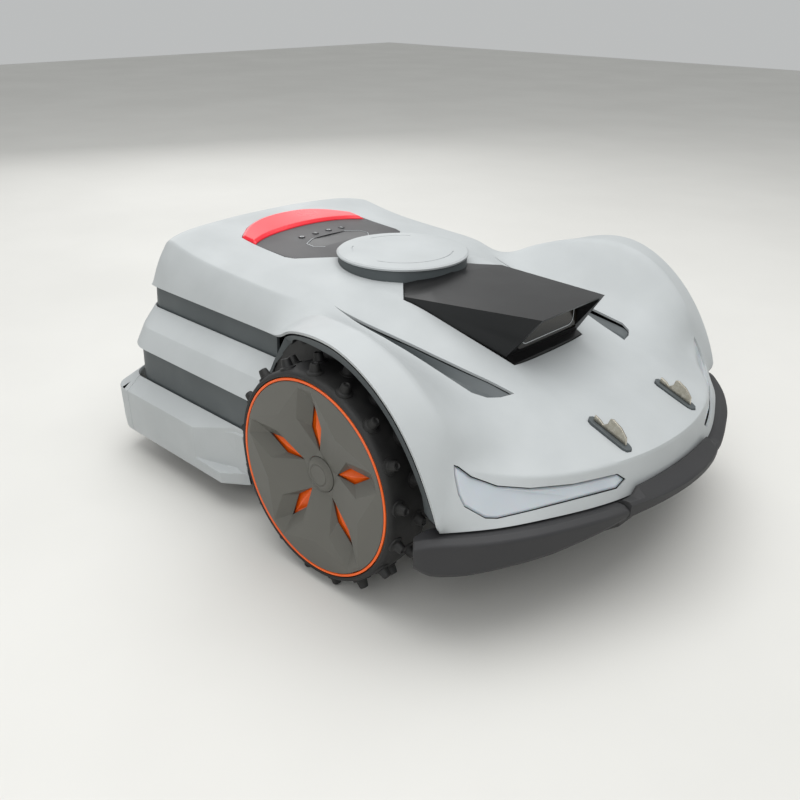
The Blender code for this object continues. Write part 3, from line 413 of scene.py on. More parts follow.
hoodPlan = bothSides([(87.0, 61.2), (-46.0, 84.5), (-84.0, 46.0)])
panelPlan = bothSides(
    [(-176.0, 30.0), (-189.0, 52.0), (-220.0, 89.5), (-232.0, 94.0), (-292.0, 93.6)]
    + [(stopRear(y), y) for y in reversed(stopStations[1:])]
    + [(stopRear(0.0), 0.0)]
)
ventPlan = [
    (-94, 135.5), (-30, 126), (0, 121.5), (30, 117), (60, 111.5), (88, 105), (117, 100.5), (113, 116),
    (106, 128), (93, 135), (60, 134), (30, 132.5), (0, 131.5), (-30, 132), (-60, 134.5),
]
displayPlan = [
    (-236, 45.5), (-227, 37), (-227, -37), (-236, -45.5), (-249, -44.5), (-258, -28), (-258, 28), (-249, 44.5),
]


gap = 0.4  # between neighbouring pieces
antenna = {
    "x": -129.0, "radius": 78.0, "baseRadius": 76.0, "top": 151.6, "underside": 146.8,
    "baseTop": 146.4, "baseFoot": 120.0, "steps": 128,
    # shallow arcs in the cap: start and end in degrees, their two radii and how deep they are cut
    "grooves": ((-75, 35), (125, 175), (215, 235)), "grooveRadii": (59.0, 60.2), "grooveDepth": 0.8,
}
cover = {
    "wall": 2.6,
    # heights that each opening is cut between; the headlights' are along their facing
    "hoodCut": (60, 160), "panelCut": (110, 170), "antennaCut": (100, 160),
    "ventCut": (40, 130), "lightCut": (9.0, -9.0), "contactCut": (30.0, 90.0),
    # the free edge over a wheel: least distance from the middle, and its span in degrees
    "archSide": 205, "archSpan": (5.2, 133.5),
    "levels": 3,
    # edge sharpness by half-column, with the rows that it runs along
    "ridges": {6: (0.55, 10, 21), 5: (0.5, 2, 9), 3: (0.75, 9, 19), 2: (0.55, 10, 19)},
    "fasciaRow": 21,
    "fasciaEdge": 0.95,
}


# the upper moulding's cage, smoothed but still without its wall
def coverSheet():
    size = 2 * len(coverRows[0]) - 1
    middle = len(coverRows[0]) - 1
    points = []
    for half in coverRows:
        points += mirrored(half[:0:-1]) + half
    faces = []
    for row in range(len(coverRows) - 1):
        for column in range(size - 1):
            low = row * size + column
            faces.append((low, low + size, low + size + 1, low + 1))
    sheet = meshObject("coverMoulding", points, faces, outward=False)
    shape = bmesh.new()
    shape.from_mesh(sheet.data)
    crease = shape.edges.layers.float.new("crease_edge")
    for edge in shape.edges:
        (row, column), (otherRow, otherColumn) = sorted(divmod(v.index, size) for v in edge.verts)
        ridge = cover["ridges"].get(abs(column - middle))
        if column == otherColumn and ridge and ridge[1] <= row < ridge[2]:
            edge[crease] = ridge[0]
        if row == otherRow == cover["fasciaRow"]:
            edge[crease] = cover["fasciaEdge"]
    shape.to_mesh(sheet.data)
    shape.free()
    smooth = sheet.modifiers.new("smooth", "SUBSURF")
    smooth.levels = cover["levels"]
    smooth.render_levels = cover["levels"]
    smooth.boundary_smooth = "PRESERVE_CORNERS"
    settle(sheet, 45)
    return sheet


# the sheet's edge over one wheel, from the rear to the front, in the axle frame
def archEdge(sheet, side):
    shape = bmesh.new()
    shape.from_mesh(sheet.data)
    edge = []
    first, last = cover["archSpan"]
    for vertex in shape.verts:
        x, y, z = (vertex.co - axle) / mm
        degrees = math.degrees(math.atan2(z, x))
        if vertex.is_boundary and side * y > cover["archSide"] and first <= degrees <= last:
            edge.append((x, abs(y), z))
    shape.free()
    return sorted(edge, key=lambda point: -math.atan2(point[2], point[0]))


def tool(rings):
    return meshObject("tool", *loft(rings))


# the round opening that the antenna's base stands in
def antennaTool():
    outline = circle(antenna["x"], 0, antenna["baseRadius"] + gap, 96)
    return tool(prism(outline, *cover["antennaCut"]))


def makeCover(sheet):
    wall = sheet.modifiers.new("wall", "SOLIDIFY")
    wall.thickness = cover["wall"] * mm
    wall.offset = -1.0
    tools = [
        tool(prism(grown(hoodPlan, gap), *cover["hoodCut"])),
        tool(prism(grown(panelPlan, gap), *cover["panelCut"])),
        antennaTool(),
    ]
    for side, plan in (("left", ventPlan), ("right", mirrored(ventPlan))):
        tools.append(tool(prism(grown(plan, gap), *cover["ventCut"])))
        tools.append(tool(lightRings(side, gap, *cover["lightCut"])))
        tools.append(tool(contactRings(side, gap, *cover["contactCut"])))
    carve(sheet, tools)
    dress(sheet, "mouldedAsa", "cover", ["upper_cover"], sharp=38)


light = {
    # the left outline on the fascia, from its inner tip round to its outer tip
    "outline": [
        (234.0, 78.5, 20.5), (229.5, 86.0, 27.0), (211.0, 131.0, 27.5), (189.0, 166.0, 28.8),
        (170.0, 189.0, 33.0), (154.0, 206.0, 43.0), (145.5, 214.5, 53.0), (144.0, 218.5, 55.5),
        (147.5, 221.5, 48.0), (154.5, 224.0, 33.0), (161.0, 223.0, 23.0), (175.0, 210.0, 11.2),
        (182.0, 201.0, 9.9), (196.0, 173.0, 11.3), (214.7, 134.0, 13.8), (232.0, 88.0, 13.6),
    ],
    "facing": (0.72, 0.52, 0.46),
    # levels along the facing, and how far the crest stands inside the rim
    "seat": -7.5, "rim": -3.2, "crest": -2.0, "crestInset": 1.8,
}


# the headlight's outline grown in the plane it faces, at two levels along its facing
def lightRings(side, grow, high, low):
    facing = Vector(light["facing"]).normalized()
    across = facing.cross(Vector((0, 0, 1))).normalized()
    up = across.cross(facing)
    flat = [(Vector(p).dot(across), Vector(p).dot(up)) for p in light["outline"]]
    rings = []
    for level in (high, low):
        ring = []
        for point, (u, v) in zip(light["outline"], grown(flat, grow)):
            ring.append(tuple(across * u + up * v + facing * (Vector(point).dot(facing) + level)))
        rings.append(ring)
    return rings if side == "left" else [mirrored(ring) for ring in rings]


contact = {
    "front": Vector((227.5, 62.5)), "rear": Vector((179.5, 62.5)), "halfWidth": 5.5,
    "deckHeight": 60.2, "deckSlope": 0.38, "base": (-3.0, 0.6), "halfThickness": 1.1,
    # the blade's outline: X, then height above the deck
    "blade": [
        (222.0, 1.0), (221.5, 8.5), (215.0, 14.0), (206.0, 16.2), (202.5, 14.5), (200.5, 8.0),
        (196.0, 3.6), (192.5, 5.8), (186.0, 6.6), (185.0, 1.0),
    ],
}


# the oblong outline of a charging contact's base
def contactPlan(grow):
    plan = []
    half = contact["halfWidth"]
    radius = half + grow
    for centre, start in ((contact["front"], -90), (contact["rear"], 90)):
        middle = centre + Vector((-half if start < 0 else half, 0))
        for step in range(5):
            angle = math.radians(start + 45 * step)
            plan.append((middle.x + radius * math.cos(angle), middle.y + radius * math.sin(angle)))
    return plan


# the deck's height under a contact
def contactHeight(x):
    return contact["deckHeight"] - contact["deckSlope"] * (x - contact["rear"].x)


def contactRings(side, grow, low, high):
    plan = contactPlan(grow)
    return prism(plan if side == "left" else mirrored(plan), low, high)


arch = {
    "radius": 132.0, "inner": 207.6, "wall": 2.0, "wallFoot": 100.0,
    # the band hangs this far inside the cover's edge, then leans in over its width
    "lip": 4.7, "lipInset": 1.2, "bandWidth": 9.0, "bandLean": 0.28,
    # behind the cover's edge: angles, height over the liner and distance from the middle
    "rearAngles": (175, 165, 155, 146), "rearRise": 3.0, "rearSide": 212.0,
}


# a band under the cover's edge, coloured dark grey as painted shade for the shadow under that edge, then the
# black liner over the tyre and its inner wall
def makeArch(sheetEdge, side, name):
    def ring(angle, lipRadius, lipY):
        radius, inner, wall = arch["radius"], arch["inner"], arch["wall"]
        band = max(lipRadius - arch["bandWidth"], radius + 0.4)
        bandY = lipY - arch["bandLean"] * (lipRadius - band) - 0.6
        deep = max(bandY - 7.0, inner + 1.0)
        section = [
            (lipRadius, lipY), (band, bandY), (radius, deep), (radius - 7.0, inner),
            (arch["wallFoot"], inner), (arch["wallFoot"], inner - wall), (radius - 5.0, inner - wall),
            (radius + wall, deep - 0.6), (band + wall, bandY - wall), (lipRadius, lipY - wall),
        ]
        return [(r * math.cos(angle), side * y, r * math.sin(angle)) for r, y in section]

    high = arch["radius"] + arch["rearRise"]
    rings = [ring(math.radians(angle), high, arch["rearSide"]) for angle in arch["rearAngles"]]
    for x, y, z in sheetEdge[::2]:
        rings.append(ring(math.atan2(z, x), math.hypot(x, z) - arch["lip"], y - arch["lipInset"]))
    piece = meshObject("wheelArch" + name.capitalize(), *loft(rings))
    piece.data.materials.append(looks["darkAsa"])
    piece.data.materials.append(looks["blackPolypropylene"])
    # the band's outward faces take the dark grey: painted shade where the cover's edge shades them
    for face in piece.data.polygons:
        reach = Vector((face.center.x - axle.x, 0, face.center.z - axle.z)).length / mm
        isPaintedShadeBand = reach > arch["radius"] + 0.3 and side * face.normal.y > 0.5
        face.material_index = 0 if isPaintedShadeBand else 1
    dress(piece, [], "cover", ["wheel_arch_" + name], sharp=35)


# stations round the rear: straight sides, turned corners and the rear face, from right to left
def rearStations(front):
    corner = [("corner", math.radians(11.25 * step)) for step in range(9)]
    half = [("side", x) for x in front] + corner + [("rear", 0.6), ("rear", 0.3)]
    left = [(1, *station) for station in reversed(half)]
    return [(-1, *station) for station in half] + [(1, "rear", 0.0)] + left


# one level's point at a station
def outlinePoint(station, sideY, rearX, radius, z):
    hand, kind, value = station
    if kind == "side":
        return (value, hand * sideY, z)
    if kind == "rear":
        return (-rearX, hand * (sideY - radius) * value, z)
    x = -(rearX - radius) - radius * math.sin(value)
    return (x, hand * (sideY - radius + radius * math.cos(value)), z)


# levels of each tier as (side, rear, corner radius, height), outer side first
rearCore = [
    (186.0, 391.5, 25.0, 93.0), (187.6, 392.5, 26.0, 66.0), (187.2, 391.5, 26.0, 61.5),
    (212.0, 388.0, 42.0, 45.0), (225.5, 389.5, 47.0, 24.0), (226.0, 390.0, 47.0, -12.0),
    (226.0, 390.0, 47.0, -21.0),
    (222.5, 386.5, 44.0, -21.0), (222.0, 386.0, 44.0, 22.0), (209.0, 384.0, 40.0, 41.0),
    (183.6, 388.0, 23.0, 58.0), (182.5, 388.0, 22.0, 93.0),
]
middleTier = [
    (190.0, 394.0, 28.0, 66.5), (217.0, 393.5, 46.0, 49.5), (231.0, 395.0, 50.0, 27.5),
    (226.3, 390.6, 47.0, 27.2), (213.5, 389.4, 43.0, 47.5), (188.2, 392.6, 26.5, 63.2),
]
skirtLevels = [
    (228.5, 393.0, 34.0, -13.5), (248.0, 406.0, 32.0, -29.0), (247.2, 405.2, 32.0, -68.0),
    (247.2, 405.2, 32.0, -70.5), (246.0, 404.0, 32.0, -85.0), (242.6, 400.6, 30.0, -85.0),
    (243.6, 401.6, 30.0, -74.0), (243.7, 401.7, 30.0, -66.0), (244.4, 402.4, 30.0, -31.5),
    (227.0, 391.5, 33.0, -17.5),
]


skirt = {
    "taper": 0.31, "taperFrom": -224.0, "taperLength": 60.0, "toe": 0.72, "toeFrom": -178.0, "rise": 0.75,
    "sideStations": (-365.4, -300.0, -224.0, -200.0, -178.0, -166.0, -150.0), "seam": -366.0,
}


# the side skirt draws in towards the wheel, its foot later than its upper part
def skirtRing(x, hand):
    taper = skirt["taper"] * min(max(x - skirt["taperFrom"], 0.0), skirt["taperLength"])
    toe = skirt["toe"] * max(x - skirt["toeFrom"], 0.0)
    ring = []
    for index, (sideY, _, _, z) in enumerate(skirtLevels):
        if index in (7, 8):
            taper = 0.85 * taper
        if index in (1, 8):
            ring.append((x, hand * (sideY - taper), z + skirt["rise"] * taper))
        elif index in (2, 7):
            ring.append((x, hand * (sideY - taper), z))
        elif index in (3, 4, 5, 6):
            ring.append((x, hand * (sideY - toe), z))
        else:
            ring.append((x, hand * sideY, z))
    return ring


def makeTiers():
    def sweep(name, levels, stations, look, node, edge):
        rings = [[outlinePoint(station, *level) for level in levels] for station in stations]
        dress(meshObject(name, *loft(rings)), look, "cover", [node], edge=edge, limit=12, sharp=40)

    core, tier = rearStations((-137.0, -220.0, -310.0)), rearStations((-130.0, -220.0, -310.0))
    # the dark core shows as a band under each tier; its dark grey is painted shade, standing in for the shadow
    # in those undercuts
    sweep("rearCore", rearCore, core, "darkAsa", "rear_core", 0.5)
    sweep("middleTier", middleTier, tier, "mouldedAsa", "tier_middle", 0.9)
    rear = [station for station in rearStations(()) if station[1] != "side"]
    seam = [(-1, "side", skirt["seam"])] + rear + [(1, "side", skirt["seam"])]
    sweep("rearSkirt", skirtLevels, seam, "mouldedAsa", "skirt_rear", 0.9)
    for side, hand in (("left", 1), ("right", -1)):
        rings = [skirtRing(x, hand) for x in skirt["sideStations"]]
        piece = meshObject("sideSkirt" + side.capitalize(), *loft(rings))
        dress(piece, "mouldedAsa", "cover", ["skirt_" + side], edge=0.9, limit=12, sharp=40)


# stations on both sides of the middle, from those on one side
def acrossBody(half):
    return [-y for y in half[:0:-1]] + list(half)


bumper = {
    # each wing's plan from its end to the block, with the height of its foot
    "wing": [
        (145.0, 271.0, -29.0), (157.5, 260.0, -37.0), (175.8, 240.0, -38.0), (191.0, 220.0, -35.5),
        (203.5, 200.0, -33.0), (214.5, 180.0, -30.5), (223.4, 160.0, -28.0), (239.2, 120.0, -20.5),
        (248.9, 88.6, -13.5),
    ],
    "wingSteps": 5, "wingEdge": 1.2,
    "blockHalf": 88.0, "blockStations": (0.0, 15.0, 30.0, 45.0, 60.0, 69.5, 75.5, 79.0, 88.0), "blockEdge": 0.8,
}


def makeBumper():
    for side, hand in (("left", 1), ("right", -1)):
        rings = []
        line = bumper["wing"]
        for index, (x, y, foot) in enumerate(line):
            after = Vector(line[min(index + 1, len(line) - 1)][:2])
            along = after - Vector(line[max(index - 1, 0)][:2])
            inward = Vector((along.y, -along.x)).normalized()
            if inward.x > 0:
                inward = -inward
            if index == len(line) - 1:
                inward = Vector((-1.0, 0.0))
            width, top = (15.0, -3.0) if index == 0 else (24.0, 0.6)
            section = [
                (7.0, top), (1.2, top - 3.2), (0.0, top - 5.6), (0.8, foot + 5.0), (4.0, foot),
                (width, min(foot, -14.0)), (width, top),
            ]
            rings.append([(x + inward.x * d, hand * (y + inward.y * d), z) for d, z in section])
        piece = meshObject("bumperWing" + side.capitalize(), *loft(smoothed(rings, bumper["wingSteps"])))
        dress(piece, "bumperRubber", "cover", ["bumper_" + side], edge=bumper["wingEdge"])
    rings = []
    for y in acrossBody(bumper["blockStations"]):
        share = (y / bumper["blockHalf"]) ** 2
        x = 265.0 - 16.0 * share
        fascia = 246.0 - 8.0 * share
        high = 3.8 if abs(y) > 77 else 5.4 if abs(y) > 74 else 12.4
        foot = -8.0 - 5.5 * share
        rings.append([
            (x - 24.0, y, 0.6), (fascia - 2.6, y, 0.6), (fascia, y, 3.0),
            (fascia - 0.04 * (high - 3.0), y, high), (fascia + 2.0, y, high + 0.5), (x - 2.5, y, 4.6),
            (x, y, 2.0), (x - 1.0, y, foot + 3.0), (x - 4.0, y, foot), (x - 24.0, y, -14.0),
        ])
    block = meshObject("bumperBlock", *loft(rings))
    dress(block, "bumperRubber", "cover", ["bumper_center"], edge=bumper["blockEdge"])


panel = {
    "stations": (0.0, 15.0, 30.0, 40.0, 52.0, 60.0, 70.0, 80.0, 89.5, 93.4), "cut": (120, 160),
    "keyRadius": 4.2, "keyRise": 0.8, "keyRow": -272.5, "keys": (-33.6, -11.2, 11.2, 33.6),
    # printed marks: half length and width of a bar, outer and inner radius of a ring
    "bar": (2.2, 0.5), "ring": (2.4, 1.5),
}
stopBar = {
    "stations": (0.0, 15.0, 30.0, 41.0, 52.0, 61.0, 70.0, 76.0, 82.0, 89.5, 92.6),
    "rise": 3.2, "slope": 5.0, "edge": 1.0,
}


# an outline at two levels over the curved deck
def onDeck(outline, low, high):
    return [[(x, y, deckHeight(x, y) + level) for x, y in outline] for level in (low, high)]


def makeDeckPieces():
    rings = []
    for y in acrossBody(panel["stations"]):
        front = -232.0 if abs(y) > 90 else -189.0 - max(abs(y) - 52.0, 0.0) * 0.8267
        rear = stopFront(y) + gap
        row = [rear + (front - rear) * step / 8 for step in range(9)]
        rings.append([(rear, y, deckHeight(rear, y) - 4.0)] + [(x, y, deckHeight(x, y)) for x in row]
                     + [(front, y, deckHeight(front, y) - 4.0)])
    film = meshObject("controlPanel", *loft(rings))
    tools = [antennaTool(), tool(prism(grown(displayPlan, gap), *panel["cut"]))]
    for y in panel["keys"]:
        hole = circle(panel["keyRow"], y, panel["keyRadius"] + gap, 32)
        tools.append(tool(prism(hole, *panel["cut"])))
    carve(film, tools)
    dress(film, "panelFilm", "cover", ["control_panel"], edge=0.3, limit=40)
    glass = meshObject("displayWindow", *loft(onDeck(displayPlan, -3.0, -0.3)))
    dress(glass, "displayGlass", "cover", ["display"], edge=0.3)
    border = tool(onDeck(grown(displayPlan, 1.2), -1.0, 0.12))
    carve(border, [tool(prism(grown(displayPlan, 0.45), *panel["cut"]))])
    border.name = "displayBorder"
    dress(border, "printedInk", "cover", [])
    for number, y in enumerate(panel["keys"], 1):
        x = panel["keyRow"]
        level = deckHeight(x, y)
        outline = circle(x, y, panel["keyRadius"], 40)
        key = meshObject("keyTop%d" % number, *loft(prism(outline, level - 3.4, level + panel["keyRise"])))
        body = "key_%d" % number
        dress(key, "panelFilm", body, [body], edge=0.5)
        half, width = panel["bar"]
        outer, inner = panel["ring"]
        bar = [(x - half, y - width), (x + half, y - width), (x + half, y + width), (x - half, y + width)]
        shape = circle(x, y, outer, 24) if number % 2 else bar
        mark = tool(prism(shape, level + 0.6, level + 0.92))
        if number % 2:
            carve(mark, [tool(prism(circle(x, y, inner, 24), level, level + 3))])
        mark.name = "keyMark%d" % number
        dress(mark, "printedInk", body, [])
    rings = []
    slope = stopBar["slope"]
    for y in acrossBody(stopBar["stations"]):
        front, rear = stopFront(y), stopRear(y)
        rise = 0.6 if abs(y) > 90 else stopBar["rise"]
        rings.append([
            (rear, y, deckHeight(rear, y) - 3.4), (rear, y, deckHeight(rear, y) + rise * 0.2),
            (rear + slope, y, deckHeight(rear + slope, y) + rise),
            (front - slope, y, deckHeight(front - slope, y) + rise),
            (front, y, deckHeight(front, y) + rise * 0.3), (front, y, deckHeight(front, y) - 3.4),
        ])
    bar = meshObject("stopButtonBar", *loft(rings))
    dress(bar, "redAbs", "stop_button", ["stop_bar"], edge=stopBar["edge"], limit=15)


def makeAntenna():
    place = Matrix.Translation((antenna["x"], 0, 0))
    wide, high, low = antenna["baseRadius"], antenna["baseTop"], antenna["baseFoot"]
    base = [(0.0, high), (wide - 1.0, high), (wide, high - 0.8), (wide, low), (0.0, low)]
    piece = meshObject("antennaBase", *turned(base, antenna["steps"]), place=place)
    # the base's dark grey side is painted shade, standing in for the shadow under the cap's overhang
    dress(piece, "darkAsa", "cover", ["antenna_base"], edge=0.5)
    top, rim, under = antenna["top"], antenna["radius"], antenna["underside"]
    cap = [
        (0.0, top), (60.0, top - 0.1), (70.0, top - 0.4), (rim - 2.0, top - 1.2), (rim, top - 2.8),
        (rim - 0.4, under), (0.0, under),
    ]
    piece = meshObject("antennaCap", *turned(cap, antenna["steps"]), place=place)
    grooves = []
    for start, end in antenna["grooves"]:
        outline = []
        for radius, order in zip(antenna["grooveRadii"], (1, -1)):
            angles = [math.radians(start + (end - start) * step / 24) for step in range(25)][::order]
            outline += [(antenna["x"] + radius * math.cos(a), radius * math.sin(a)) for a in angles]
        grooves.append(tool(prism(outline, top - antenna["grooveDepth"], top + 2)))
    carve(piece, grooves)
    dress(piece, "mouldedAsa", "cover", ["antenna_cap"], edge=0.6, limit=12)


hood = {
    # X, half width and height at the foot, at the crease, then the ridge's height
    "sections": [
        (-83.5, 45.6, 126.0, 45.0, 134.0, 141.5), (-46.0, 84.0, 127.0, 83.4, 131.6, 139.0),
        (15.0, 73.4, 105.0, 72.8, 134.2, 137.0),
    ],
    # the leaning front frame: X, half width and height at its top and its foot
    "faceTop": (113.0, 55.6, 138.5), "faceFoot": (75.5, 61.0, 91.0),
    "edge": 1.0,
    # the pocket behind it and what stands in it: half sizes, then depths along X
    "pocket": (53.0, 19.05), "panel": (52.6, 18.65), "plate": (66.4, 69.4), "window": (80.3, 83.0),
    "middle": 116.55, "eyeHeight": 111.0,
    # CAD node, piece name, distance from the middle and radius
    "eyes": (
        ("lens_left", "lensLeft", 31.0, 10.5), ("lens_right", "lensRight", -31.0, 10.5),
        ("light_sensor", "lightSensor", 0.0, 5.0),
    ),
}


def makeHood():
    rings = []
    for x, low, z, crease, top, ridge in hood["sections"]:
        rings.append([
            (x, -low, z - 22), (x, low, z - 22), (x, low, z), (x, crease, top), (x, 0, ridge),
            (x, -crease, top), (x, -low, z),
        ])
    (faceX, faceY, faceZ), (footX, footY, footZ) = hood["faceTop"], hood["faceFoot"]
    rings.append([
        (70, -61.2, 76), (70, 61.2, 76), (footX, footY, footZ), (faceX, faceY, faceZ), (faceX, 0, faceZ),
        (faceX, -faceY, faceZ), (footX, -footY, footZ),
    ])
    piece = meshObject("cameraHood", *loft(rings))
    chin = [[(x, -60.6, 76), (x, 60.6, 76), (x, 60.6, z), (x, -60.6, z)] for x, z in ((72, 92.5), (86.6, 86.4))]
    carve(piece, [tool(chin)], "UNION")

    # a rounded upright panel between two depths along X
    def facing(halfWidth, halfHeight, near, far, radius=6.0):
        outline = []
        for quarter in range(4):
            for step in range(7):
                angle = math.radians(90 * quarter + 15 * step)
                u = math.cos(angle) * radius + (halfWidth - radius) * (1 if quarter in (0, 3) else -1)
                v = math.sin(angle) * radius + (halfHeight - radius) * (1 if quarter in (0, 1) else -1)
                outline.append((u, v))
        return [[(level, u, hood["middle"] + v) for u, v in outline] for level in (near, far)]

    carve(piece, [antennaTool(), tool(facing(*hood["pocket"], 66.0, 135.0))])
    dress(piece, "satinBlackLacquer", "cover", ["camera_hood"], edge=hood["edge"], limit=15)
    plate = meshObject("cameraPlate", *loft(facing(*hood["panel"], *hood["plate"])))
    dress(plate, "blackPolypropylene", "cover", ["camera_plate"], edge=0.3)
    window = meshObject("cameraWindow", *loft(facing(*hood["panel"], *hood["window"])))
    dress(window, "smokedAcrylic", "cover", ["camera_window"], edge=0.4)
    border = tool(facing(46.5, 15.2, 82.7, 83.15, 9.0))
    carve(border, [tool(facing(45.6, 14.3, 80.0, 86.0, 8.2))])
    border.name = "windowBorder"
    dress(border, "printedInk", "cover", [])
    for node, name, y, radius in hood["eyes"]:
        place = Matrix.Translation((69.6, y, hood["eyeHeight"])) @ Matrix.Rotation(math.radians(90), 4, "Y")
        curve = [math.radians(angle) for angle in range(0, 91, 10)]
        dome = [(radius * math.sin(a) * 0.72, 5.0 + 3.6 * math.cos(a)) for a in curve]
        barrel = [(radius * 0.8, 6.0), (radius * 0.92, 6.0), (radius, 5.0), (radius, 0.2), (0.0, 0.2)]
        lens = meshObject(name, *turned(dome + barrel, 64), place=place)
        dress(lens, "coatedGlass", "cover", [node], edge=0.2)
        ring = [(radius * 1.02, 10.2), (radius * 1.02, 10.6), (radius * 0.9, 10.6), (radius * 0.9, 10.2)]
        ring = meshObject(name + "Ring", *turned(ring, 64, closed=True), place=place)
        dress(ring, "printedInk", "cover", [])


vent = {
    # X, the inner and outer edges and their heights
    "stations": [
        (-92.0, 135.3, 135.9, 116.6, 116.4), (-60.0, 130.4, 134.1, 110.0, 108.0),
        (-30.0, 126.4, 131.6, 104.0, 100.0), (0.0, 121.9, 131.1, 99.6, 94.5), (30.0, 117.4, 132.1, 94.0, 89.0),
        (60.0, 111.9, 133.6, 88.0, 83.6), (88.0, 105.5, 134.4, 82.4, 79.0), (104.0, 103.0, 129.6, 78.6, 77.2),
        (113.5, 101.5, 112.5, 76.6, 76.2),
    ],
    "floor": 5.0, "depth": 10.0, "edge": 0.4,
}


# a trough that lies in each opening of the deck
def makeVents():
    for side, hand in (("left", 1), ("right", -1)):
        rings = []
        for x, inner, outer, high, low in vent["stations"]:
            third = (outer - inner) / 3
            floor = low - vent["floor"]
            foot = low - vent["depth"]
            rings.append([(x, hand * y, z) for y, z in (
                (inner, high - 2.0), (inner + third, floor), (outer - third, floor - 1.0),
                (outer, low - 2.0), (outer, foot), (inner, foot))])
        piece = meshObject("ventTrim" + side.capitalize(), *loft(smoothed(rings, 4)))
        dress(piece, "darkAsa", "cover", ["vent_" + side], edge=vent["edge"])


def makeLights():
    for side in ("left", "right"):
        base, rim = lightRings(side, -gap, light["seat"], light["rim"])
        crest = lightRings(side, -gap - light["crestInset"], light["seat"], light["crest"])[1]
        piece = meshObject("headlightPipe" + side.capitalize(), *loft([base, rim, crest]))
        dress(piece, "opalPolycarbonate", "cover", ["headlight_" + side], edge=0.5, limit=10)


def makeContacts():
    for side, hand in (("left", 1), ("right", -1)):
        rings = []
        for offset in contact["base"]:
            rings.append([(x, hand * y, contactHeight(x) + offset) for x, y in contactPlan(0.0)])
        base = meshObject("contactBase" + side.capitalize(), *loft(rings))
        dress(base, "darkAsa", "cover", ["contact_base_" + side], edge=0.5)
        middle = contact["front"].y
        rings = []
        for half in (-contact["halfThickness"], contact["halfThickness"]):
            rings.append([(x, hand * (middle + half), contactHeight(x) + z) for x, z in contact["blade"]])
        blade = meshObject("contactBlade" + side.capitalize(), *loft(rings))
        dress(blade, "nickelPlate", "cover", ["contact_" + side], edge=0.45)


tyre = {
    "ring": 102.5, "tread": 109.0, "width": 50.0, "bore": 91.2,
    # two staggered rows of knobs: how many in each and how deep they sit, then a knob's radii and tip
    "knobs": 17, "knobRows": (-10.5, -33.5), "knobBase": 6.4, "knobTop": 4.0, "knobTip": 119.0,
}


# turns a wheel's own frame, which faces up, out to its side of the axle
def wheelPlace(hand):
    return Matrix.Translation((0, hand * hubY / mm, 0)) @ Matrix.Rotation(math.radians(-90 * hand), 4, "X")


def makeTyre(name, hand):
    tread, width, ring, bore = tyre["tread"], tyre["width"], tyre["ring"], tyre["bore"]
    carcass = [
        (ring + 0.8, 0.0), (ring + 3.4, 0.3), (tread - 1.6, -1.0), (tread - 0.3, -3.4), (tread, -7.0),
        (tread + 0.6, -16.0), (tread + 0.8, -25.0), (tread + 0.6, -34.0), (tread, -43.0),
        (tread - 1.0, -width + 2.0), (tread - 4.0, -width), (bore, -width), (bore, -13.0), (ring + 0.8, -11.6),
    ]
    piece = meshObject("tyre" + name.capitalize(), *turned(carcass, 136, closed=True), place=wheelPlace(hand))
    top, tip, base = tyre["knobTop"], tyre["knobTip"], tyre["knobBase"]
    knob = [
        (0.0, tip - 1.3), (top * 0.5, tip - 1.2), (top * 0.72, tip - 0.1), (top, tip - 0.4),
        (top + 0.5, tip - 1.6), (base - 0.9, tread + 2.2), (base, tread + 1.5), (base + 1.6, tread + 1.2),
        (base + 2.2, tread - 2.0), (0.0, tread - 2.0),
    ]
    knobs = []
    for count in range(2 * tyre["knobs"]):
        angle = math.pi * (count + 0.5) / tyre["knobs"]
        sink = Matrix.Translation((0, 0, tyre["knobRows"][count % 2]))
        turn = Matrix.Rotation(angle, 4, "Z") @ sink @ Matrix.Rotation(math.radians(90), 4, "Y")
        knobs.append(meshObject("tool", *turned(knob, 20), place=wheelPlace(hand) @ turn))
    shape = bmesh.new()
    for each in knobs[1:]:
        shape.from_mesh(each.data)
    shape.from_mesh(knobs[0].data)
    shape.to_mesh(knobs[0].data)
    shape.free()
    for each in knobs[1:]:
        bpy.data.objects.remove(each)
    carve(piece, [knobs[0]], "UNION")
    dress(piece, "tyreRubber", "wheel_" + name, ["tyre_" + name], sharp=35)


# one arm of the star, as (radius, degrees from the arm's middle, height); rimSpan is how many
# degrees the rim runs on from the arm's tip to halfway between two arms
star = {
    "arms": 5, "firstArm": 20.0, "wall": 2.4, "edge": 0.5,
    "rim": (99.4, 0.0), "rimSpan": 30.3, "tip": (95.0, 5.7, 0.8), "notch": (70.0, 36.0, 1.8),
    "knee": (62.0, 17.0, -1.8),
    "slotEnd": (77.0, 0.0, -10.0), "slotSide": (50.0, 9.0, -12.4), "slotRoot": (25.0, 0.0, -13.4),
    "hub": (19.0, -13.0),
}


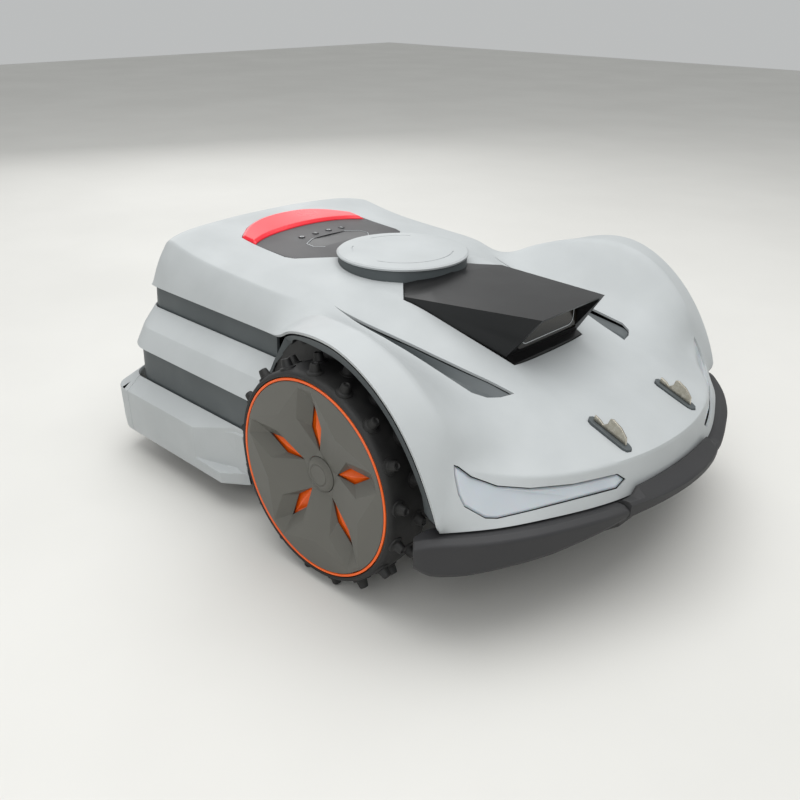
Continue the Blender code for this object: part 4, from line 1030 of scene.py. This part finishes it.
def makeStar(name, hand):
    points = []
    faces = []

    def add(radius, degrees, z):
        angle = math.radians(degrees)
        points.append((radius * math.cos(angle), radius * math.sin(angle), z))
        return len(points) - 1

    for arm in range(star["arms"]):
        middle = star["firstArm"] + 360 / star["arms"] * arm
        end = add(star["slotEnd"][0], middle, star["slotEnd"][2])
        root = add(star["slotRoot"][0], middle, star["slotRoot"][2])
        hub = add(star["hub"][0], middle, star["hub"][1])
        tips = []
        for sign in (1, -1):
            radius, spread, z = star["tip"]
            tip = add(radius, middle + sign * spread, z)
            tips.append(tip)
            radius, spread, z = star["notch"]
            notch = add(radius, middle + sign * spread, z)
            radius, spread, z = star["knee"]
            knee = add(radius, middle + sign * spread, z)
            radius, spread, z = star["slotSide"]
            slot = add(radius, middle + sign * spread, z)
            far = add(star["hub"][0], middle + sign * 36, star["hub"][1])
            near = add(star["hub"][0], middle + sign * 18, star["hub"][1])
            around = [middle + sign * (star["tip"][1] + star["rimSpan"] * step / 8) for step in range(9)]
            rim = [add(star["rim"][0], degrees, star["rim"][1]) for degrees in around]
            inner = [add(star["rim"][0] - 1.2, degrees, 0.5) for degrees in around]
            loops = [
                [tip, *inner, notch], [tip, notch, knee], [notch, root, knee], [notch, far, near, root],
                [near, hub, root], [tip, knee, slot, end], [knee, root, slot],
            ]
            loops += [[inner[step], rim[step], rim[step + 1], inner[step + 1]] for step in range(8)]
            faces += [loop if sign > 0 else loop[::-1] for loop in loops]
            last = (rim[0], inner[0])
            if sign > 0:
                first = last
        faces.append([tips[0], tips[1], end])
        faces.append([tips[1], tips[0], first[1], last[1]])
        faces.append([first[1], first[0], last[0], last[1]])
    place = wheelPlace(hand)
    piece = meshObject("wheelCover" + name.capitalize(), points, faces, place=place)
    out = place.to_3x3() @ Vector((0, 0, 1))
    if sum(face.normal.dot(out) for face in piece.data.polygons) < 0:
        piece.data.flip_normals()
    wall = piece.modifiers.new("wall", "SOLIDIFY")
    wall.thickness = star["wall"] * mm
    wall.offset = -1.0
    dress(piece, "warmSatinPaint", "wheel_" + name, ["wheel_cover_" + name], edge=star["edge"],
          segments=2, limit=7, sharp=30)


# a flat ring and web with a raised diamond under each slot of the star
def makeOrangeDisc(name, hand):
    ring = [
        (102.3, 0.0), (102.0, 0.4), (100.1, 0.4), (99.8, 0.0), (99.8, -8.0), (84.0, -13.6), (10.0, -17.0),
        (10.0, -19.0),
        (86.0, -16.6), (102.3, -10.8),
    ]
    place = wheelPlace(hand)
    piece = meshObject("orangeDisc" + name.capitalize(), *turned(ring, 144, closed=True), place=place)
    diamonds = []
    for arm in range(star["arms"]):
        turn = Matrix.Rotation(math.radians(star["firstArm"] + 72 * arm), 4, "Z")
        plan = [(22.0, 0.0), (50.0, -8.8), (80.0, 0.0), (50.0, 8.8)]
        low = [(x, y, -15.6) for x, y in plan]
        high = [(26.0, 0.0, -15.2), (50.0, -0.6, -11.6), (74.0, 0.0, -12.6), (50.0, 0.6, -11.6)]
        diamonds.append(meshObject("tool", *loft([low, high]), place=place @ turn))
    carve(piece, diamonds, "UNION")
    dress(piece, "orangeAbs", "wheel_" + name, ["orange_disc_" + name], sharp=25)


def makeHub(name, hand):
    cap = [
        (0.0, -9.6), (10.2, -9.7), (10.8, -10.4), (11.6, -10.5), (12.2, -9.8), (14.8, -10.2), (17.0, -11.2),
        (18.6, -12.4), (18.6, -14.8), (0.0, -14.8),
    ]
    piece = meshObject("hubCap" + name.capitalize(), *turned(cap, 96), place=wheelPlace(hand))
    dress(piece, "warmSatinPaint", "wheel_" + name, ["hub_cap_" + name], edge=0.25)


# CAD parts that keep their shape, by finish
kept = {
    "blackPolypropylene": ["chassis_pan", "rim_left", "rim_right", "castor_fork_left", "castor_fork_right"],
    "darkAsa": ["battery_pack", "cutter_carriage", "blade_disc"],
    "bumperRubber": ["castor_wheel_left", "castor_wheel_right"],
    "castAluminium": ["drive_motor_left", "drive_motor_right"],
    "groundSteel": ["blade_1", "blade_2", "blade_3"],
}

sheet = coverSheet()
edges = {side: archEdge(sheet, hand) for side, hand in (("left", 1), ("right", -1))}
makeCover(sheet)
print("upper cover made")
for side, hand in (("left", 1), ("right", -1)):
    makeArch(edges[side], hand, side)
makeTiers()
makeBumper()
print("arches, tiers and bumper made")
makeDeckPieces()
makeAntenna()
makeHood()
makeVents()
makeLights()
makeContacts()
print("deck pieces made")
for side, hand in (("left", 1), ("right", -1)):
    makeTyre(side, hand)
    makeStar(side, hand)
    makeOrangeDisc(side, hand)
    makeHub(side, hand)
print("wheels made")
for look, names in kept.items():
    for name in names:
        node = frame["nodes"][name]
        node.data.materials.clear()
        node.data.materials.append(looks[look])

# a pale matt floor and three soft boxes under an even pale sky
studio = {
    "floor": "#D9D8D4", "floorShade": "#D5D4D0", "floorHalf": 6.0, "sky": "#E8EAEA", "skyStrength": 0.62,
    "boxes": [
        ("overhead", (0.1, 0.0, 2.2), (2.6, 2.6), 46.0),
        ("keySide", (1.3, -1.9, 1.5), (1.4, 1.4), 15.0),
        ("fillSide", (-1.9, 0.9, 1.1), (1.6, 1.2), 9.0),
    ],
}


def makeStudio():
    world = bpy.data.worlds.new("studio")
    bpy.context.scene.world = world
    world.use_nodes = True
    sky = world.node_tree.nodes["Background"]
    sky.inputs["Color"].default_value = hexColour(studio["sky"])
    sky.inputs["Strength"].default_value = studio["skyStrength"]
    mesh = bpy.data.meshes.new("floor")
    half = studio["floorHalf"]
    corners = [(-half, -half, 0), (half, -half, 0), (half, half, 0), (-half, half, 0)]
    mesh.from_pydata(corners, [], [(0, 1, 2, 3)])
    floor = bpy.data.objects.new("floor", mesh)
    bpy.context.scene.collection.objects.link(floor)
    finish = makeFinish("paleFloor", studio["floor"], studio["floorShade"], 0.8, 2.0, 0.05, mottle=400)
    mesh.materials.append(finish)
    target = (Vector(cadBox[0]) + Vector(cadBox[1])) / 2
    for name, place, size, power in studio["boxes"]:
        lamp = bpy.data.lights.new(name, "AREA")
        lamp.shape = "RECTANGLE"
        lamp.size, lamp.size_y = size
        lamp.energy = power
        box = bpy.data.objects.new(name, lamp)
        bpy.context.scene.collection.objects.link(box)
        box.location = place
        box.rotation_euler = (target - Vector(place)).to_track_quat("-Z", "Y").to_euler()


# seen from the front right and above, at about knee height
camera = {
    "place": (576.2234, -737.7078, 436.6847),
    "right": (0.719266, 0.694701, 0.006870),
    "down": (0.301468, -0.303189, -0.903987),
    "ahead": (-0.625918, 0.652278, -0.427504),
    "lens": 39.927,
}


def makeCamera():
    data = bpy.data.cameras.new("camera")
    data.lens = camera["lens"]
    data.sensor_width = 36.0
    eye = bpy.data.objects.new("camera", data)
    bpy.context.scene.collection.objects.link(eye)
    turn = Matrix((camera["right"], [-v for v in camera["down"]], [-v for v in camera["ahead"]])).transposed()
    eye.matrix_world = Matrix.Translation(axle + Vector(camera["place"]) * mm) @ turn.to_4x4()
    bpy.context.scene.camera = eye


makeStudio()
makeCamera()
bpy.context.scene.view_settings.view_transform = "Standard"
print("studio and camera made")
